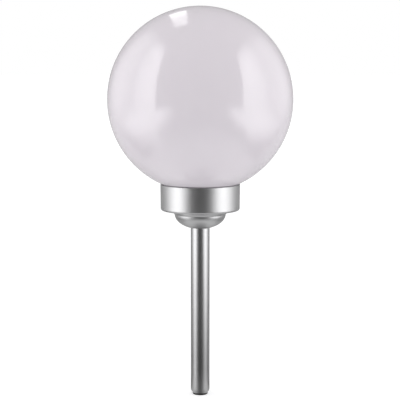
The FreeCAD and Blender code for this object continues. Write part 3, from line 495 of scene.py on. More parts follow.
collar_profile = rounded([
    (SOCKET_HOLE, PARTING_LEVEL, 0.2 * MM),
    (BOSS_RADIUS - 1.1 * MM, PARTING_LEVEL, 0.3 * MM),
    (BOSS_RADIUS, PARTING_LEVEL + 2.6 * MM, 4.0 * MM),
    (BOSS_RADIUS, BASE_LEVEL, 0.25 * MM),
    (COLLAR_BASE_RADIUS, BASE_LEVEL, 2.5 * MM),
    (COLLAR_RIM_RADIUS, RIM_LEVEL, 0.5 * MM),
    (RIM_BORE, RIM_LEVEL, 0.5 * MM),
    (RIM_BORE, LEDGE_LEVEL, 0.2 * MM),
    (THREAD_BORE, LEDGE_LEVEL, 0.2 * MM),
    (THREAD_BORE, FLOOR_LEVEL, 0.5 * MM),
    (BOSS_BORE, FLOOR_LEVEL, 0.4 * MM),
    (BOSS_BORE, BOSS_FLOOR_LEVEL, 0.5 * MM),
    (SOCKET_HOLE, BOSS_FLOOR_LEVEL, 0.2 * MM),
])
collar = make_piece("collar_moulding", turned(filled_in(collar_profile, 4 * MM), 160))
slot_cutter = block(SWITCH_SLOT_LENGTH, SWITCH_SLOT_WIDTH, 2 * HOUSING_WALL,
                    0, SWITCH_CIRCLE, BASE_LEVEL - HOUSING_WALL / 2)
screw_holes = [bar(*around(DOME_SCREW_CIRCLE, angle), PARTING_LEVEL - MM, BOSS_FLOOR_LEVEL + MM,
                   SCREW_HOLE_RADIUS + 0.05 * MM) for angle in DOME_SCREW_ANGLES]
cut_out(collar, slot_cutter, *screw_holes)
collar_thread = [thread_ridge(THREAD_BORE + RIDGE_BITE, NECK_RADIUS + COLLAR_RIDGE_GAP,
                              NECK_RIDGE_LEVEL + THREAD_LEAD / 4, start) for start in (0, math.pi)]
carrier_bosses = [screw_boss(*around(CARRIER_SCREW_CIRCLE, angle), CARRIER_BASE,
                             lambda x, y: FLOOR_LEVEL - 0.5 * MM + 0 * x, CARRIER_HOLE_DEPTH)
                  for angle in CARRIER_SCREW_ANGLES]
collar_inside = make_piece("collar_inner_mouldings", *collar_thread, *carrier_bosses)
for moulding in (collar, collar_inside):
    finish_piece(moulding, silver, "silver_plastic", "collar_housing")

# ---- The screws ----
# Pan-head tapping screws of zinc-plated steel: three down through the collar's floor into the dome,
# three through the carrier's flange into the collar, and four small ones up through the boards.

SCREW_RADIUS = 1.3 * MM
SCREW_HEAD_RADIUS = 2.6 * MM
SCREW_HEAD_HEIGHT = 1.3 * MM
CARRIER_SCREW_SEAT = 214.9 * MM
CARRIER_SCREW_LENGTH = 6.0 * MM
BOARD_SCREW_RADIUS = 0.9 * MM
BOARD_SCREW_HEAD = 1.7 * MM
BOARD_SCREW_CAP = 1.0 * MM
BOARD_SCREW_LENGTH = 4.0 * MM
BOARD_UNDERSIDE = 219.4 * MM
POST_SPREAD = 12.6 * MM
POST_ROW = 17.0 * MM
CROSS_ARM_SHARE = 0.11
CROSS_DEPTH_SHARE = 0.55
PITCH_SHARE = 0.75
CORE_SHARE = 0.74
TAPER_FROM = 0.75
ZINC = "#B4B9BF"
ZINC_SHADE = "#A7A89A"


def tapping_screw(x, y, seat, length, radius, head, height, way=1):
    """A screw whose head sits on the level seat, with its shank down, or up where way is -1. Rows run
    from the middle of the head over its rim and down the shank, and the angle a runs the full turn. The
    head's level is height times (1 - (r / head)^4)^(1/4), lowered within a cross where the nearer of |x|
    and |y| is small. On the shank r rises from the core to the radius where level / pitch - a / full turn
    is near a whole number, and tapers to half over the last part."""
    angles = np.linspace(0, FULL_TURN, 56, endpoint=False)[None, :]
    across = head * np.sin(np.linspace(0, math.pi / 2, 18))[:, None]
    arm = np.minimum(np.abs(across * np.cos(angles)), np.abs(across * np.sin(angles)))
    cross = np.clip(1.6 - arm / (CROSS_ARM_SHARE * head), 0, 1)
    cross = cross * np.clip(3.2 - 4.6 * across / head, 0, 1)
    cap = height * (1 - (across / head) ** 4) ** 0.25 - CROSS_DEPTH_SHARE * height * cross
    pitch = PITCH_SHARE * radius
    levels = np.linspace(0, -length, int(6 * length / pitch))[:, None]
    phase = (way * levels / pitch - angles / FULL_TURN) % 1
    ridge = np.clip(1 - 3 * np.minimum(phase, 1 - phase), 0, 1) * np.clip(-levels / radius, 0, 1)
    taper = 1 - 0.5 * np.clip((-levels / length - TAPER_FROM) / (1 - TAPER_FROM), 0, 1) ** 1.5
    shank = radius * (CORE_SHARE + (1 - CORE_SHARE) * ridge) * taper
    reach = np.vstack([across + 0 * angles, shank, 0 * angles])
    rise = np.vstack([cap, levels + 0 * angles, levels[-1:] + 0 * angles])
    points = np.stack([x + reach * np.cos(angles), y + reach * np.sin(angles), seat + way * rise], axis=-1)
    return points.reshape(-1, 3), grid_faces(len(reach), angles.shape[1]).reshape(-1, 4).tolist()


def plated_steel(name, colour, shade_colour, roughness=0.3):
    """Steel with a thin electroplated skin: bright and even, with faint patches of tint where the
    plating took differently and a very fine orange-peel that blurs its gloss."""
    material, tree, shader, place = new_material(name)
    patches = add(tree, "TexNoise", Vector=place, Scale=1 / (1.6 * MM), Detail=3.0)
    grain = add(tree, "TexNoise", Vector=place, Scale=1 / (0.2 * MM), Detail=2.0)
    shade = add(tree, "Mix", {"data_type": "RGBA"}, _0=patches, _6=linear(colour), _7=linear(shade_colour))
    gloss = add(tree, "MapRange", Value=grain, _3=roughness - 0.08, _4=roughness + 0.1)
    bump = add(tree, "Bump", Strength=0.2, Distance=0.01 * MM, Height=grain)
    join_up(tree, shader, Base_Color=shade, Metallic=1.0, Roughness=gloss, Normal=bump)
    return material


zinc = plated_steel("zinc_plated_steel", ZINC, ZINC_SHADE)
dome_screws = [(*around(DOME_SCREW_CIRCLE, angle), BOSS_FLOOR_LEVEL, DOME_SCREW_LENGTH, SCREW_RADIUS,
                SCREW_HEAD_RADIUS, SCREW_HEAD_HEIGHT) for angle in DOME_SCREW_ANGLES]
carrier_screws = [(*around(CARRIER_SCREW_CIRCLE, angle), CARRIER_SCREW_SEAT, CARRIER_SCREW_LENGTH,
                   SCREW_RADIUS, SCREW_HEAD_RADIUS, SCREW_HEAD_HEIGHT) for angle in CARRIER_SCREW_ANGLES]
board_screws = [(side * POST_SPREAD, row * POST_ROW, BOARD_UNDERSIDE, BOARD_SCREW_LENGTH,
                 BOARD_SCREW_RADIUS, BOARD_SCREW_HEAD, BOARD_SCREW_CAP, -1)
                for side in (1, -1) for row in (1, -1)]
for node, screws in (("dome_screws", dome_screws), ("carrier_screws", carrier_screws),
                     ("board_screws", board_screws)):
    pan_heads = make_piece(f"{node}_pan_head", *[tapping_screw(*screw) for screw in screws])
    finish_piece(pan_heads, zinc, "screw_steel", node)

# ---- The carrier ----
# A hat moulded in black ABS on the collar's bosses. Its deck holds the solar panel in a shallow recess
# and has holes for the diodes and the panel's wires; the boards hang from posts under it.

EDGE_ANGLE = math.radians(50)
FLAT_ANGLE = math.radians(0.4)


def bevelled(piece, width, segments=2):
    """Round a piece's edges, as a mould or a tool leaves them."""
    bevel = piece.modifiers.new("edges", "BEVEL")
    bevel.width = width
    bevel.segments = segments
    bevel.limit_method = "ANGLE"
    bevel.angle_limit = EDGE_ANGLE
    return piece


def dress_solid(node, name, width, material, slot, segments=2):
    """Dress a CAD node in a copy of its own mesh: its loose triangles are merged, its flat faces are
    joined, and where a width is given its edges are rounded."""
    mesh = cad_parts[node].data.copy()
    mesh.name = name
    mesh.materials.clear()
    cleaned(mesh, lambda shell: bmesh.ops.dissolve_limit(shell, angle_limit=FLAT_ANGLE, verts=shell.verts,
                                                         edges=shell.edges))
    piece = placed(name, creased(mesh))
    finish_piece(bevelled(piece, width, segments) if width else piece, material, slot, node)


carrier_black = moulded_black("black_abs", "#1D1D1F", grain=0.4, roughness=0.48)
dress_solid("panel_carrier", "panel_carrier_moulding", 0.12 * MM, carrier_black, "black_plastic")

# ---- The solar panel ----
# Four strips cut from polycrystalline silicon wafers, printed with silver fingers and a busbar, glued to
# a square glass-epoxy board and covered by a clear moulded sheet.

STRIP_PITCH = 8.55 * MM
FINGER_PITCH = 1.5 * MM
FINGER_SHARE = 0.12
BUSBAR_WIDTH = 0.9 * MM
SILICON = "#0F2560"
SILICON_LIGHT = "#2C54B0"
PRINTED_SILVER = "#B9BCC2"
MASK_GREEN = "#17552F"
TRACK_GREEN = "#2C7A49"
FIBREGLASS = "#A39C68"
TRACK_PITCH = 1.3 * MM


def silicon_wafer(name):
    """Polycrystalline silicon under a blue anti-reflection film: its grains, 3 mm across, each take their
    own blue. Thin printed silver fingers cross each strip, and a busbar runs down its middle."""
    material, tree, shader, place = new_material(name)
    parts = add(tree, "SeparateXYZ", Vector=place).outputs
    grains = add(tree, "TexVoronoi", Vector=place, Scale=1 / (3 * MM), Randomness=1.0)
    blue = add(tree, "Mix", {"data_type": "RGBA"}, _0=grains.outputs["Color"], _6=linear(SILICON),
               _7=linear(SILICON_LIGHT))
    finger_step = add(tree, "Math", {"operation": "MULTIPLY"}, _0=parts["Y"], _1=1 / FINGER_PITCH)
    finger_share = add(tree, "Math", {"operation": "FRACT"}, _0=finger_step)
    finger = add(tree, "Math", {"operation": "LESS_THAN"}, _0=finger_share, _1=FINGER_SHARE)
    strip_step = add(tree, "Math", {"operation": "MULTIPLY"}, _0=parts["X"], _1=1 / STRIP_PITCH)
    strip_share = add(tree, "Math", {"operation": "FRACT"}, _0=strip_step)
    busbar = add(tree, "Math", {"operation": "COMPARE"}, _0=strip_share, _1=0.5,
                 _2=BUSBAR_WIDTH / STRIP_PITCH / 2)
    printed = add(tree, "Math", {"operation": "MAXIMUM"}, _0=finger, _1=busbar)
    shade = add(tree, "Mix", {"data_type": "RGBA"}, _0=printed, _6=blue, _7=linear(PRINTED_SILVER))
    gloss = add(tree, "MapRange", Value=printed, _3=0.18, _4=0.45)
    bump = add(tree, "Bump", Strength=0.5, Distance=0.02 * MM, Height=printed)
    join_up(tree, shader, Base_Color=shade, Metallic=printed, Roughness=gloss, Normal=bump)
    return material


def masked_board(name):
    """Glass-epoxy board under green solder mask: the etched tracks below it stand a little proud and
    lighter, in patches that run one way or the other, and the sawn edges show the pale laminate."""
    material, tree, shader, place = new_material(name)
    patches = add(tree, "TexVoronoi", {"distance": "CHEBYCHEV"}, Vector=place, Scale=1 / (5.5 * MM))
    turned_way = add(tree, "Math", {"operation": "GREATER_THAN"}, _0=patches.outputs["Color"], _1=0.5)
    ways = [add(tree, "TexWave", {"bands_direction": way}, Vector=place,
                Scale=math.pi / 10 / TRACK_PITCH).outputs["Fac"] for way in "XY"]
    lines = add(tree, "Mix", {"data_type": "FLOAT"}, _0=turned_way, _2=ways[0], _3=ways[1])
    track = add(tree, "MapRange", {"interpolation_type": "SMOOTHSTEP"}, Value=lines, _1=0.7, _2=0.8)
    green = add(tree, "Mix", {"data_type": "RGBA"}, _0=track, _6=linear(MASK_GREEN), _7=linear(TRACK_GREEN))
    facing = add(tree, "SeparateXYZ", Vector=place.node.outputs["Normal"])
    upright = add(tree, "Math", {"operation": "ABSOLUTE"}, _0=facing.outputs["Z"])
    sawn = add(tree, "Math", {"operation": "LESS_THAN"}, _0=upright, _1=0.5)
    shade = add(tree, "Mix", {"data_type": "RGBA"}, _0=sawn, _6=green, _7=linear(FIBREGLASS))
    gloss = add(tree, "MapRange", Value=sawn, _3=0.28, _4=0.7)
    bump = add(tree, "Bump", Strength=0.5, Distance=0.035 * MM, Height=track)
    join_up(tree, shader, Base_Color=shade, Roughness=gloss, Normal=bump)
    return material


def clear_cast(name, colour, haze=0.05, roughness=0.05):
    """Clear resin or sheet: light passes through it, its surface is glossy with a slow ripple, and a few
    scuffs dull it in places. Haze is the share that scatters light back."""
    material, tree, shader, place = new_material(name)
    ripple = add(tree, "TexNoise", Vector=place, Scale=1 / (6 * MM), Detail=1.0)
    scuffs = add(tree, "TexNoise", Vector=place, Scale=1 / (1.2 * MM), Detail=4.0)
    gloss = add(tree, "MapRange", Value=scuffs, _1=0.4, _2=0.7, _3=roughness, _4=roughness + 0.12)
    bump = add(tree, "Bump", Strength=0.15, Distance=0.05 * MM, Height=ripple)
    join_up(tree, shader, Base_Color=linear(colour), IOR=1.5, Transmission_Weight=1 - haze,
            Roughness=gloss, Normal=bump)
    return material


board_laminate = masked_board("solder_masked_fibreglass")
dress_solid("solar_panel_board", "solar_panel_laminate", 0.1 * MM, board_laminate, "circuit_board")
silicon = silicon_wafer("polycrystalline_silicon")
dress_solid("solar_cells", "solar_cell_strips", 0.04 * MM, silicon, "solar_silicon", segments=1)
clear_sheet = clear_cast("clear_epoxy_sheet", "#F4F8FB")
dress_solid("panel_cover", "panel_clear_sheet", 0.25 * MM, clear_sheet, "clear_cover", segments=3)

# ---- The boards and what is on them ----
# The control board carries a driver chip, a dipped coil and a small electrolytic capacitor on its lower
# face; the board opposite only carries two of the diodes.

BOARD_TOP = 221.0 * MM
CHIP_AT = (-6.5 * MM, 17.0 * MM)
CHIP_SIZE = (5.0 * MM, 3.9 * MM, 1.45 * MM)
CHIP_LEAD_PITCH = 1.27 * MM
CHIP_LEG_WIDTH = 0.4 * MM
# the parts of a leg in mm: depth, height, how far out of the chip and how far under the board
CHIP_LEG = ((0.8, 0.15, 0.2, 0.9), (0.15, 0.9, 0.6, 0.9), (0.7, 0.15, 0.9, 0.15))
COIL_START = 3.4 * MM
COIL_ROW = 12.0 * MM
COIL_RADIUS = 1.7 * MM
COIL_LENGTH = 7.0 * MM
COIL_ROUND = 0.5 * MM
COIL_WIRE_RADIUS = 0.28 * MM
CAN_AT = (7.6 * MM, 21.2 * MM)
CAN_RADIUS = 2.2 * MM
# the can's corners: the share of its radius, and how far under the board and how round in mm
CAN_CORNERS = ((0, 4.45, 0), (0.72, 4.45, 0.05), (0.78, 4.6, 0.05), (1, 4.6, 0.3), (1, 1.3, 0.15),
               (0.9, 1.0, 0.15), (1, 0.7, 0.15), (1, 0.05, 0.2), (0, 0.05, 0))
RESIN_GREEN = "#2F8F6B"
CAN_BLUE = "#1B2350"
SLEEVE_STRIPE = "#C9CBD2"
TIN = "#C6C7C8"


def glossy_sleeve(name, colour, stripe, middle, width):
    """Heat-shrunk plastic film or dipped resin: a thin glossy coloured skin with faint draw lines, and a
    plain stripe of a width round it, whose middle is at a place along X."""
    material, tree, shader, place = new_material(name)
    draw = add(tree, "TexNoise", Vector=place, Scale=1 / (0.9 * MM), Detail=3.0)
    cloud = add(tree, "TexNoise", Vector=place, Scale=1 / (5 * MM), Detail=2.0)
    plain = add(tree, "Mix", {"data_type": "RGBA"}, _0=cloud, _6=linear(colour), _7=linear(colour, 0.75))
    parts = add(tree, "SeparateXYZ", Vector=place)
    band = add(tree, "Math", {"operation": "COMPARE"}, _0=parts.outputs["X"], _1=middle, _2=width / 2)
    shade = add(tree, "Mix", {"data_type": "RGBA"}, _0=band, _6=plain, _7=linear(stripe))
    gloss = add(tree, "MapRange", Value=draw, _3=0.2, _4=0.34)
    bump = add(tree, "Bump", Strength=0.2, Distance=0.02 * MM, Height=draw)
    join_up(tree, shader, Base_Color=shade, Roughness=gloss, Normal=bump, IOR=1.52)
    return material


def laid(surface, x, y, z):
    """A surface that stands on the origin, laid along +X: (a, b, c) goes to (c, b, -a), then to a place."""
    points, faces = surface
    return moved((np.column_stack([points[:, 2], points[:, 1], -points[:, 0]]), faces), x, y, z)


tinned = plated_steel("tinned_copper", TIN, "#A9A59B", roughness=0.35)
for board in ("control_board", "led_board"):
    dress_solid(board, f"{board}_laminate", 0.08 * MM, board_laminate, "circuit_board")

chip_level = BOARD_UNDERSIDE - CHIP_SIZE[2] - 0.12 * MM
chip = bevelled(make_piece("driver_chip_package", block(*CHIP_SIZE, *CHIP_AT, chip_level)), 0.18 * MM)
chip_epoxy = moulded_black("moulded_chip_epoxy", "#19191A", grain=0.2, roughness=0.55)
finish_piece(chip, chip_epoxy, "black_plastic", "driver_chip")
chip_legs = [block(CHIP_LEG_WIDTH, depth * MM, height * MM, CHIP_AT[0] + step * CHIP_LEAD_PITCH,
                   CHIP_AT[1] + row * (CHIP_SIZE[1] / 2 + out * MM), BOARD_UNDERSIDE - drop * MM)
             for row in (1, -1) for step in (-1.5, -0.5, 0.5, 1.5) for depth, height, out, drop in CHIP_LEG]
finish_piece(make_piece("driver_chip_legs", *chip_legs), tinned, "contact_steel", "driver_chip")

coil_half = [(COIL_RADIUS * 0.8, 0), (COIL_RADIUS, 0.9 * MM), (COIL_RADIUS, 1.9 * MM),
             (COIL_RADIUS * 0.84, 2.5 * MM)]
coil_profile = rounded([(0, 0, 0), *[(radius, along, COIL_ROUND) for radius, along in coil_half],
                        *[(radius, COIL_LENGTH - along, COIL_ROUND) for radius, along in coil_half[::-1]],
                        (0, COIL_LENGTH, 0)])
coil_level = BOARD_UNDERSIDE - COIL_RADIUS
coil = make_piece("boost_coil_dipped", laid(turned(coil_profile, 40), COIL_START, COIL_ROW, coil_level))
coil_resin = glossy_sleeve("dipped_green_resin", RESIN_GREEN, "#1E1E20", COIL_START + COIL_LENGTH / 2,
                           0.7 * MM)
finish_piece(coil, coil_resin, "coil_resin", "boost_coil")
coil_wires = []
for end, way in ((COIL_START, -1), (COIL_START + COIL_LENGTH, 1)):
    stub = bar(0, 0, -0.4 * MM, 0.8 * MM, COIL_WIRE_RADIUS, 12)
    coil_wires.append(laid(stub, end + way * 0.3 * MM, COIL_ROW, coil_level))
    coil_wires.append(bar(end + way * 0.9 * MM, COIL_ROW, coil_level - COIL_WIRE_RADIUS, BOARD_UNDERSIDE,
                          COIL_WIRE_RADIUS, 12))
finish_piece(make_piece("boost_coil_wires", *coil_wires), tinned, "contact_steel", "boost_coil")

can_profile = rounded([(CAN_RADIUS * share, BOARD_UNDERSIDE - below * MM, radius * MM)
                       for share, below, radius in CAN_CORNERS])
can = make_piece("capacitor_can_sleeved", moved(turned(can_profile, 48), *CAN_AT))
can_sleeve = glossy_sleeve("capacitor_shrink_sleeve", CAN_BLUE, SLEEVE_STRIPE,
                           CAN_AT[0] - CAN_RADIUS * 0.8, CAN_RADIUS * 0.5)
finish_piece(can, can_sleeve, "capacitor_can", "capacitor")

# ---- The diodes ----
# Four 5 mm light-emitting diodes cast in clear epoxy round a tinned steel lead frame: one post ends in
# a small cup that holds the crystal, and the flange sits under the carrier's deck.

LED_AT = (9.0 * MM, 22.6 * MM)
LED_BASE = 222.8 * MM
LED_FLANGE = 2.9 * MM
LED_FLANGE_TOP = 223.8 * MM
LED_RADIUS = 2.5 * MM
LED_BARREL_TOP = 229.5 * MM
LED_PITCH = 2.54 * MM
LED_WIRE = 0.5 * MM
LED_CUP_LEVEL = 227.0 * MM
# the cup's corners in mm: radius, how far under its rim and how round
LED_CUP_CORNERS = ((0, 0.9, 0), (0.6, 0.9, 0.1), (1.0, 0, 0.05), (0.85, 0, 0.05), (0.4, 0.55, 0.05),
                   (0, 0.55, 0))

dome_turn = np.linspace(0, math.pi / 2, 16)
led_profile = np.vstack([
    rounded([(0, LED_BASE, 0), (LED_FLANGE, LED_BASE, 0.15 * MM), (LED_FLANGE, LED_FLANGE_TOP, 0.15 * MM),
             (LED_RADIUS, LED_FLANGE_TOP, 0.1 * MM), (LED_RADIUS, LED_BARREL_TOP, 0),
             (0, LED_BARREL_TOP, 0)])[:-2],
    np.column_stack([LED_RADIUS * np.cos(dome_turn), LED_BARREL_TOP + LED_RADIUS * np.sin(dome_turn)])])
led_profile[-1, 0] = 0
cup_profile = rounded([(radius * MM, LED_CUP_LEVEL - below * MM, corner * MM)
                       for radius, below, corner in LED_CUP_CORNERS])
lamps, led_frames = [], []
for side, row in ((1, 1), (1, -1), (-1, 1), (-1, -1)):
    x, y = side * LED_AT[0], row * LED_AT[1]
    lamps.append(moved(turned(led_profile, 40), x, y))
    led_frames.append(moved(turned(cup_profile, 20), x, y))
    for way in (-0.5, 0.5):
        led_frames.append(block(LED_WIRE, LED_WIRE, LED_CUP_LEVEL - BOARD_TOP - 0.5 * MM,
                                x + way * LED_PITCH, y, BOARD_TOP))
    led_frames.append(block(1.0 * MM, LED_WIRE, 0.4 * MM, x - 0.7 * MM, y, LED_CUP_LEVEL - 1.0 * MM))
finish_piece(make_piece("leds_clear_epoxy", *lamps), clear_cast("clear_cast_epoxy", "#EEF2F6", haze=0.15),
             "led_epoxy", "leds")
finish_piece(make_piece("led_lead_frames", *led_frames), tinned, "contact_steel", "leds")

# ---- The cell and its holder ----
# A rechargeable cell, 14.5 mm across, in a green shrink sleeve over its nickel-plated steel can. It snaps
# up into a trough moulded in black plastic, between a flat contact and a bent spring leaf.

CELL_AXIS = 215.6 * MM
CELL_RADIUS = 7.25 * MM
CELL_START = -23.5018 * MM
CELL_LENGTH = 49.2036 * MM
NIPPLE_RADIUS = 2.7 * MM
NIPPLE_LENGTH = 1.3 * MM
SLEEVE = 0.15 * MM
GROOVE_AT = CELL_LENGTH - 3.4 * MM
GROOVE_HALF = 0.6 * MM
GROOVE_DEPTH = 0.35 * MM
CELL_GREEN = "#2E7D4F"
NICKEL = "#C9C6BE"

dress_solid("battery_holder", "battery_holder_moulding", 0.12 * MM, carrier_black, "black_plastic")
inner = CELL_RADIUS - SLEEVE
sleeve_profile = rounded([
    (CELL_RADIUS - 1.3 * MM, 0, 0.05 * MM), (CELL_RADIUS, 0, 0.6 * MM),
    (CELL_RADIUS, GROOVE_AT - GROOVE_HALF, 0.4 * MM), (CELL_RADIUS - GROOVE_DEPTH, GROOVE_AT, 0.3 * MM),
    (CELL_RADIUS, GROOVE_AT + GROOVE_HALF, 0.4 * MM), (CELL_RADIUS, CELL_LENGTH, 0.6 * MM),
    (CELL_RADIUS - 1.8 * MM, CELL_LENGTH, 0.05 * MM),
    (CELL_RADIUS - 1.8 * MM, CELL_LENGTH - SLEEVE, 0.04 * MM), (inner, CELL_LENGTH - SLEEVE, 0.5 * MM),
    (inner, GROOVE_AT + GROOVE_HALF, 0.3 * MM), (inner - GROOVE_DEPTH, GROOVE_AT, 0.3 * MM),
    (inner, GROOVE_AT - GROOVE_HALF, 0.3 * MM), (inner, SLEEVE, 0.5 * MM),
    (CELL_RADIUS - 1.3 * MM, SLEEVE, 0.04 * MM)])
cell_sleeve = make_piece("battery_cell_sleeve", laid(turned(filled_in(sleeve_profile, 5 * MM), 72),
                                                     CELL_START, 0, CELL_AXIS))
sleeve_green = glossy_sleeve("green_shrink_sleeve", CELL_GREEN, "#D7D9D4", CELL_START + 6 * MM, 2.5 * MM)
finish_piece(cell_sleeve, sleeve_green, "cell_sleeve", "battery_cell")
steel_radius = inner - 0.4 * MM
steel_end = CELL_LENGTH - SLEEVE - 0.05 * MM
steel_profile = rounded([
    (0, 0.1 * MM, 0), (steel_radius, 0.1 * MM + SLEEVE, 0.4 * MM), (steel_radius, steel_end, 0.4 * MM),
    (NIPPLE_RADIUS + 0.9 * MM, steel_end, 0.2 * MM), (NIPPLE_RADIUS, CELL_LENGTH - 0.1 * MM, 0.1 * MM),
    (NIPPLE_RADIUS, CELL_LENGTH + NIPPLE_LENGTH, 0.35 * MM), (0, CELL_LENGTH + NIPPLE_LENGTH, 0)])
nickel = plated_steel("nickel_plated_steel", NICKEL, "#B7B3A6", roughness=0.25)
cell_can = make_piece("battery_cell_can", laid(turned(filled_in(steel_profile, 6 * MM), 64),
                                               CELL_START, 0, CELL_AXIS))
finish_piece(cell_can, nickel, "contact_steel", "battery_cell")
for contact in ("battery_contact_positive", "battery_contact_negative"):
    dress_solid(contact, f"{contact}_strip", 0.08 * MM, nickel, "contact_steel")

# ---- The wires ----
# Thin stranded wires in soft PVC insulation: red on the positive side, black on the other. Their ends
# are soldered to the boards, the contacts, the switch and the panel.

WIRE_RED = "#B3201D"
WIRE_BLACK = "#1B1B1C"


def wire_insulation(name):
    """Extruded soft PVC: an even dull gloss with faint drag marks. The pair's colours change with the
    side of the light that each wire runs on."""
    material, tree, shader, place = new_material(name)
    parts = add(tree, "SeparateXYZ", Vector=place)
    positive = add(tree, "Math", {"operation": "GREATER_THAN"}, _0=parts.outputs["X"], _1=0.0)
    drag = add(tree, "TexNoise", Vector=place, Scale=1 / (0.5 * MM), Detail=3.0)
    shade = add(tree, "Mix", {"data_type": "RGBA"}, _0=positive, _6=linear(WIRE_BLACK), _7=linear(WIRE_RED))
    gloss = add(tree, "MapRange", Value=drag, _3=0.36, _4=0.52)
    bump = add(tree, "Bump", Strength=0.2, Distance=0.02 * MM, Height=drag)
    join_up(tree, shader, Base_Color=shade, Roughness=gloss, Normal=bump)
    return material


insulation = wire_insulation("soft_pvc_insulation")
for leads in ("battery_leads", "switch_leads", "link_leads", "panel_leads"):
    dress_solid(leads, f"{leads}_insulated", 0, insulation, "wire_insulation")

# ---- The switch's case ----
# A small slide switch's case moulded in black plastic, that stands over the slot in the collar's floor
# and lets its knob slide between two stops.

dress_solid("switch_body", "switch_case_moulding", 0.15 * MM, carrier_black, "black_plastic")

# ---- The globe ----
# A ball blown in opal acrylic, with a flat shoulder that rests on the seal and a short neck that carries
# two ridges of screw thread. It is glossy, evenly milky and a touch cool.

GLOBE_RADIUS = 100.0 * MM
GLOBE_WALL = 2.0 * MM
GLOBE_AT_RIM = 41.02 * MM
GLOBE_CENTRE = RIM_LEVEL + math.sqrt(GLOBE_RADIUS ** 2 - GLOBE_AT_RIM ** 2)
SHOULDER_LEVEL = 231.2 * MM
SHOULDER_RADIUS = 40.9 * MM
NECK_BORE = 35.6 * MM
NECK_END = 217.2 * MM
OPAL = "#EEE7EE"


def globe_profile():
    """Up the outside of the ball from its shoulder to its top, r = R sin a, z = centre - R cos a, then
    back down the inside of its wall and of the neck, and up the neck's outside."""
    start = math.asin(SHOULDER_RADIUS / GLOBE_RADIUS)
    turn = np.linspace(start, math.pi, 120)
    outside = np.column_stack([GLOBE_RADIUS * np.sin(turn), GLOBE_CENTRE - GLOBE_RADIUS * np.cos(turn)])
    outside[-1, 0] = 0
    bore = GLOBE_RADIUS - GLOBE_WALL
    turn = np.linspace(math.pi, math.asin(NECK_BORE / bore), 100)
    inside = np.column_stack([bore * np.sin(turn), GLOBE_CENTRE - bore * np.cos(turn)])
    inside[0, 0] = 0
    round_off = 0.3 * MM
    neck = np.array([
        (NECK_BORE, NECK_END + 2 * round_off), (NECK_BORE + round_off, NECK_END),
        (NECK_RADIUS - round_off, NECK_END), (NECK_RADIUS, NECK_END + round_off),
        (NECK_RADIUS, SHOULDER_LEVEL - round_off), (NECK_RADIUS + round_off, SHOULDER_LEVEL),
        (SHOULDER_RADIUS - round_off, SHOULDER_LEVEL), (SHOULDER_RADIUS, SHOULDER_LEVEL + round_off),
    ])
    return np.vstack([outside, inside, neck])


def opal_acrylic(name, colour):
    """Opal acrylic, blown: a clear glossy skin over an evenly milky body. Its white is deepest where the
    wall is thick, so it clouds very faintly, and the skin has a slow ripple that bends the highlights."""
    material, tree, shader, place = new_material(name)
    milk = add(tree, "TexNoise", Vector=place, Scale=1 / (45 * MM), Detail=2.0, Roughness=0.4)
    shade = add(tree, "Mix", {"data_type": "RGBA"}, _0=milk, _6=linear(colour), _7=linear(colour, 0.975))
    ripple = add(tree, "TexNoise", Vector=place, Scale=1 / (12 * MM), Detail=1.0)
    bump = add(tree, "Bump", Strength=0.25, Distance=0.05 * MM, Height=ripple)
    dust = add(tree, "TexNoise", Vector=place, Scale=1 / (5 * MM), Detail=4.0)
    gloss = add(tree, "MapRange", Value=dust, _3=0.09, _4=0.14)
    join_up(tree, shader, Base_Color=shade, Roughness=gloss, Normal=bump, IOR=1.49,
            Subsurface_Weight=0.35, Subsurface_Radius=(1.0, 0.95, 1.0), Subsurface_Scale=3 * MM)
    return material


opal = opal_acrylic("opal_acrylic", OPAL)
neck_thread = [thread_ridge(NECK_RADIUS - RIDGE_BITE, NECK_CREST, NECK_RIDGE_LEVEL, start)
               for start in (0, math.pi)]
globe = make_piece("globe_opal_ball", turned(globe_profile(), 192), *neck_thread)
finish_piece(globe, opal, "opal_globe", "globe_shade", body="globe")

# ---- The seal ----
# A flat ring moulded in black rubber. It stays round the globe's neck and is pressed onto the ledge in
# the collar when the globe is screwed down.

SEAL_INNER = 38.0 * MM
SEAL_OUTER = 41.0 * MM
RUBBER = "#171717"


def moulded_rubber(name, colour):
    """Moulded rubber with a matt bloom: dull, a little patchy, and faintly pitted."""
    material, tree, shader, place = new_material(name)
    bloom = add(tree, "TexNoise", Vector=place, Scale=1 / (6 * MM), Detail=4.0)
    pits = add(tree, "TexNoise", Vector=place, Scale=1 / (0.3 * MM), Detail=2.0)
    shade = add(tree, "Mix", {"data_type": "RGBA"}, _0=bloom, _6=linear(colour), _7=linear(colour, 2.0))
    gloss = add(tree, "MapRange", Value=bloom, _3=0.65, _4=0.85)
    bump = add(tree, "Bump", Strength=0.3, Distance=0.03 * MM, Height=pits)
    join_up(tree, shader, Base_Color=shade, Roughness=gloss, Normal=bump)
    return material


seal_rubber = moulded_rubber("black_moulded_rubber", RUBBER)
seal_profile = rounded([(radius, level, 0.35 * MM) for radius, level in (
    (SEAL_INNER, LEDGE_LEVEL), (SEAL_OUTER, LEDGE_LEVEL), (SEAL_OUTER, SHOULDER_LEVEL),
    (SEAL_INNER, SHOULDER_LEVEL))])
seal = make_piece("globe_seal_ring", turned(seal_profile, 128))
finish_piece(seal, seal_rubber, "seal_rubber", "globe_seal", body="seal")

# ---- The switch's knob ----
# A small slide moulded in black plastic, with grip ribs across its end, that pokes through the slot in
# the collar's underside. Its plate is kept in by the slot.

KNOB_LENGTH = 3.2 * MM
KNOB_WIDTH = 2.4 * MM
KNOB_BOTTOM = 202.9 * MM
KNOB_REST = -1.5 * MM
KNOB_PLATE_BASE = 206.9 * MM
KNOB_PLATE = 1.6 * MM
KNOB_OVERHANG = 0.7 * MM
GRIP_RIBS = 3
GRIP_DEPTH = 0.35 * MM


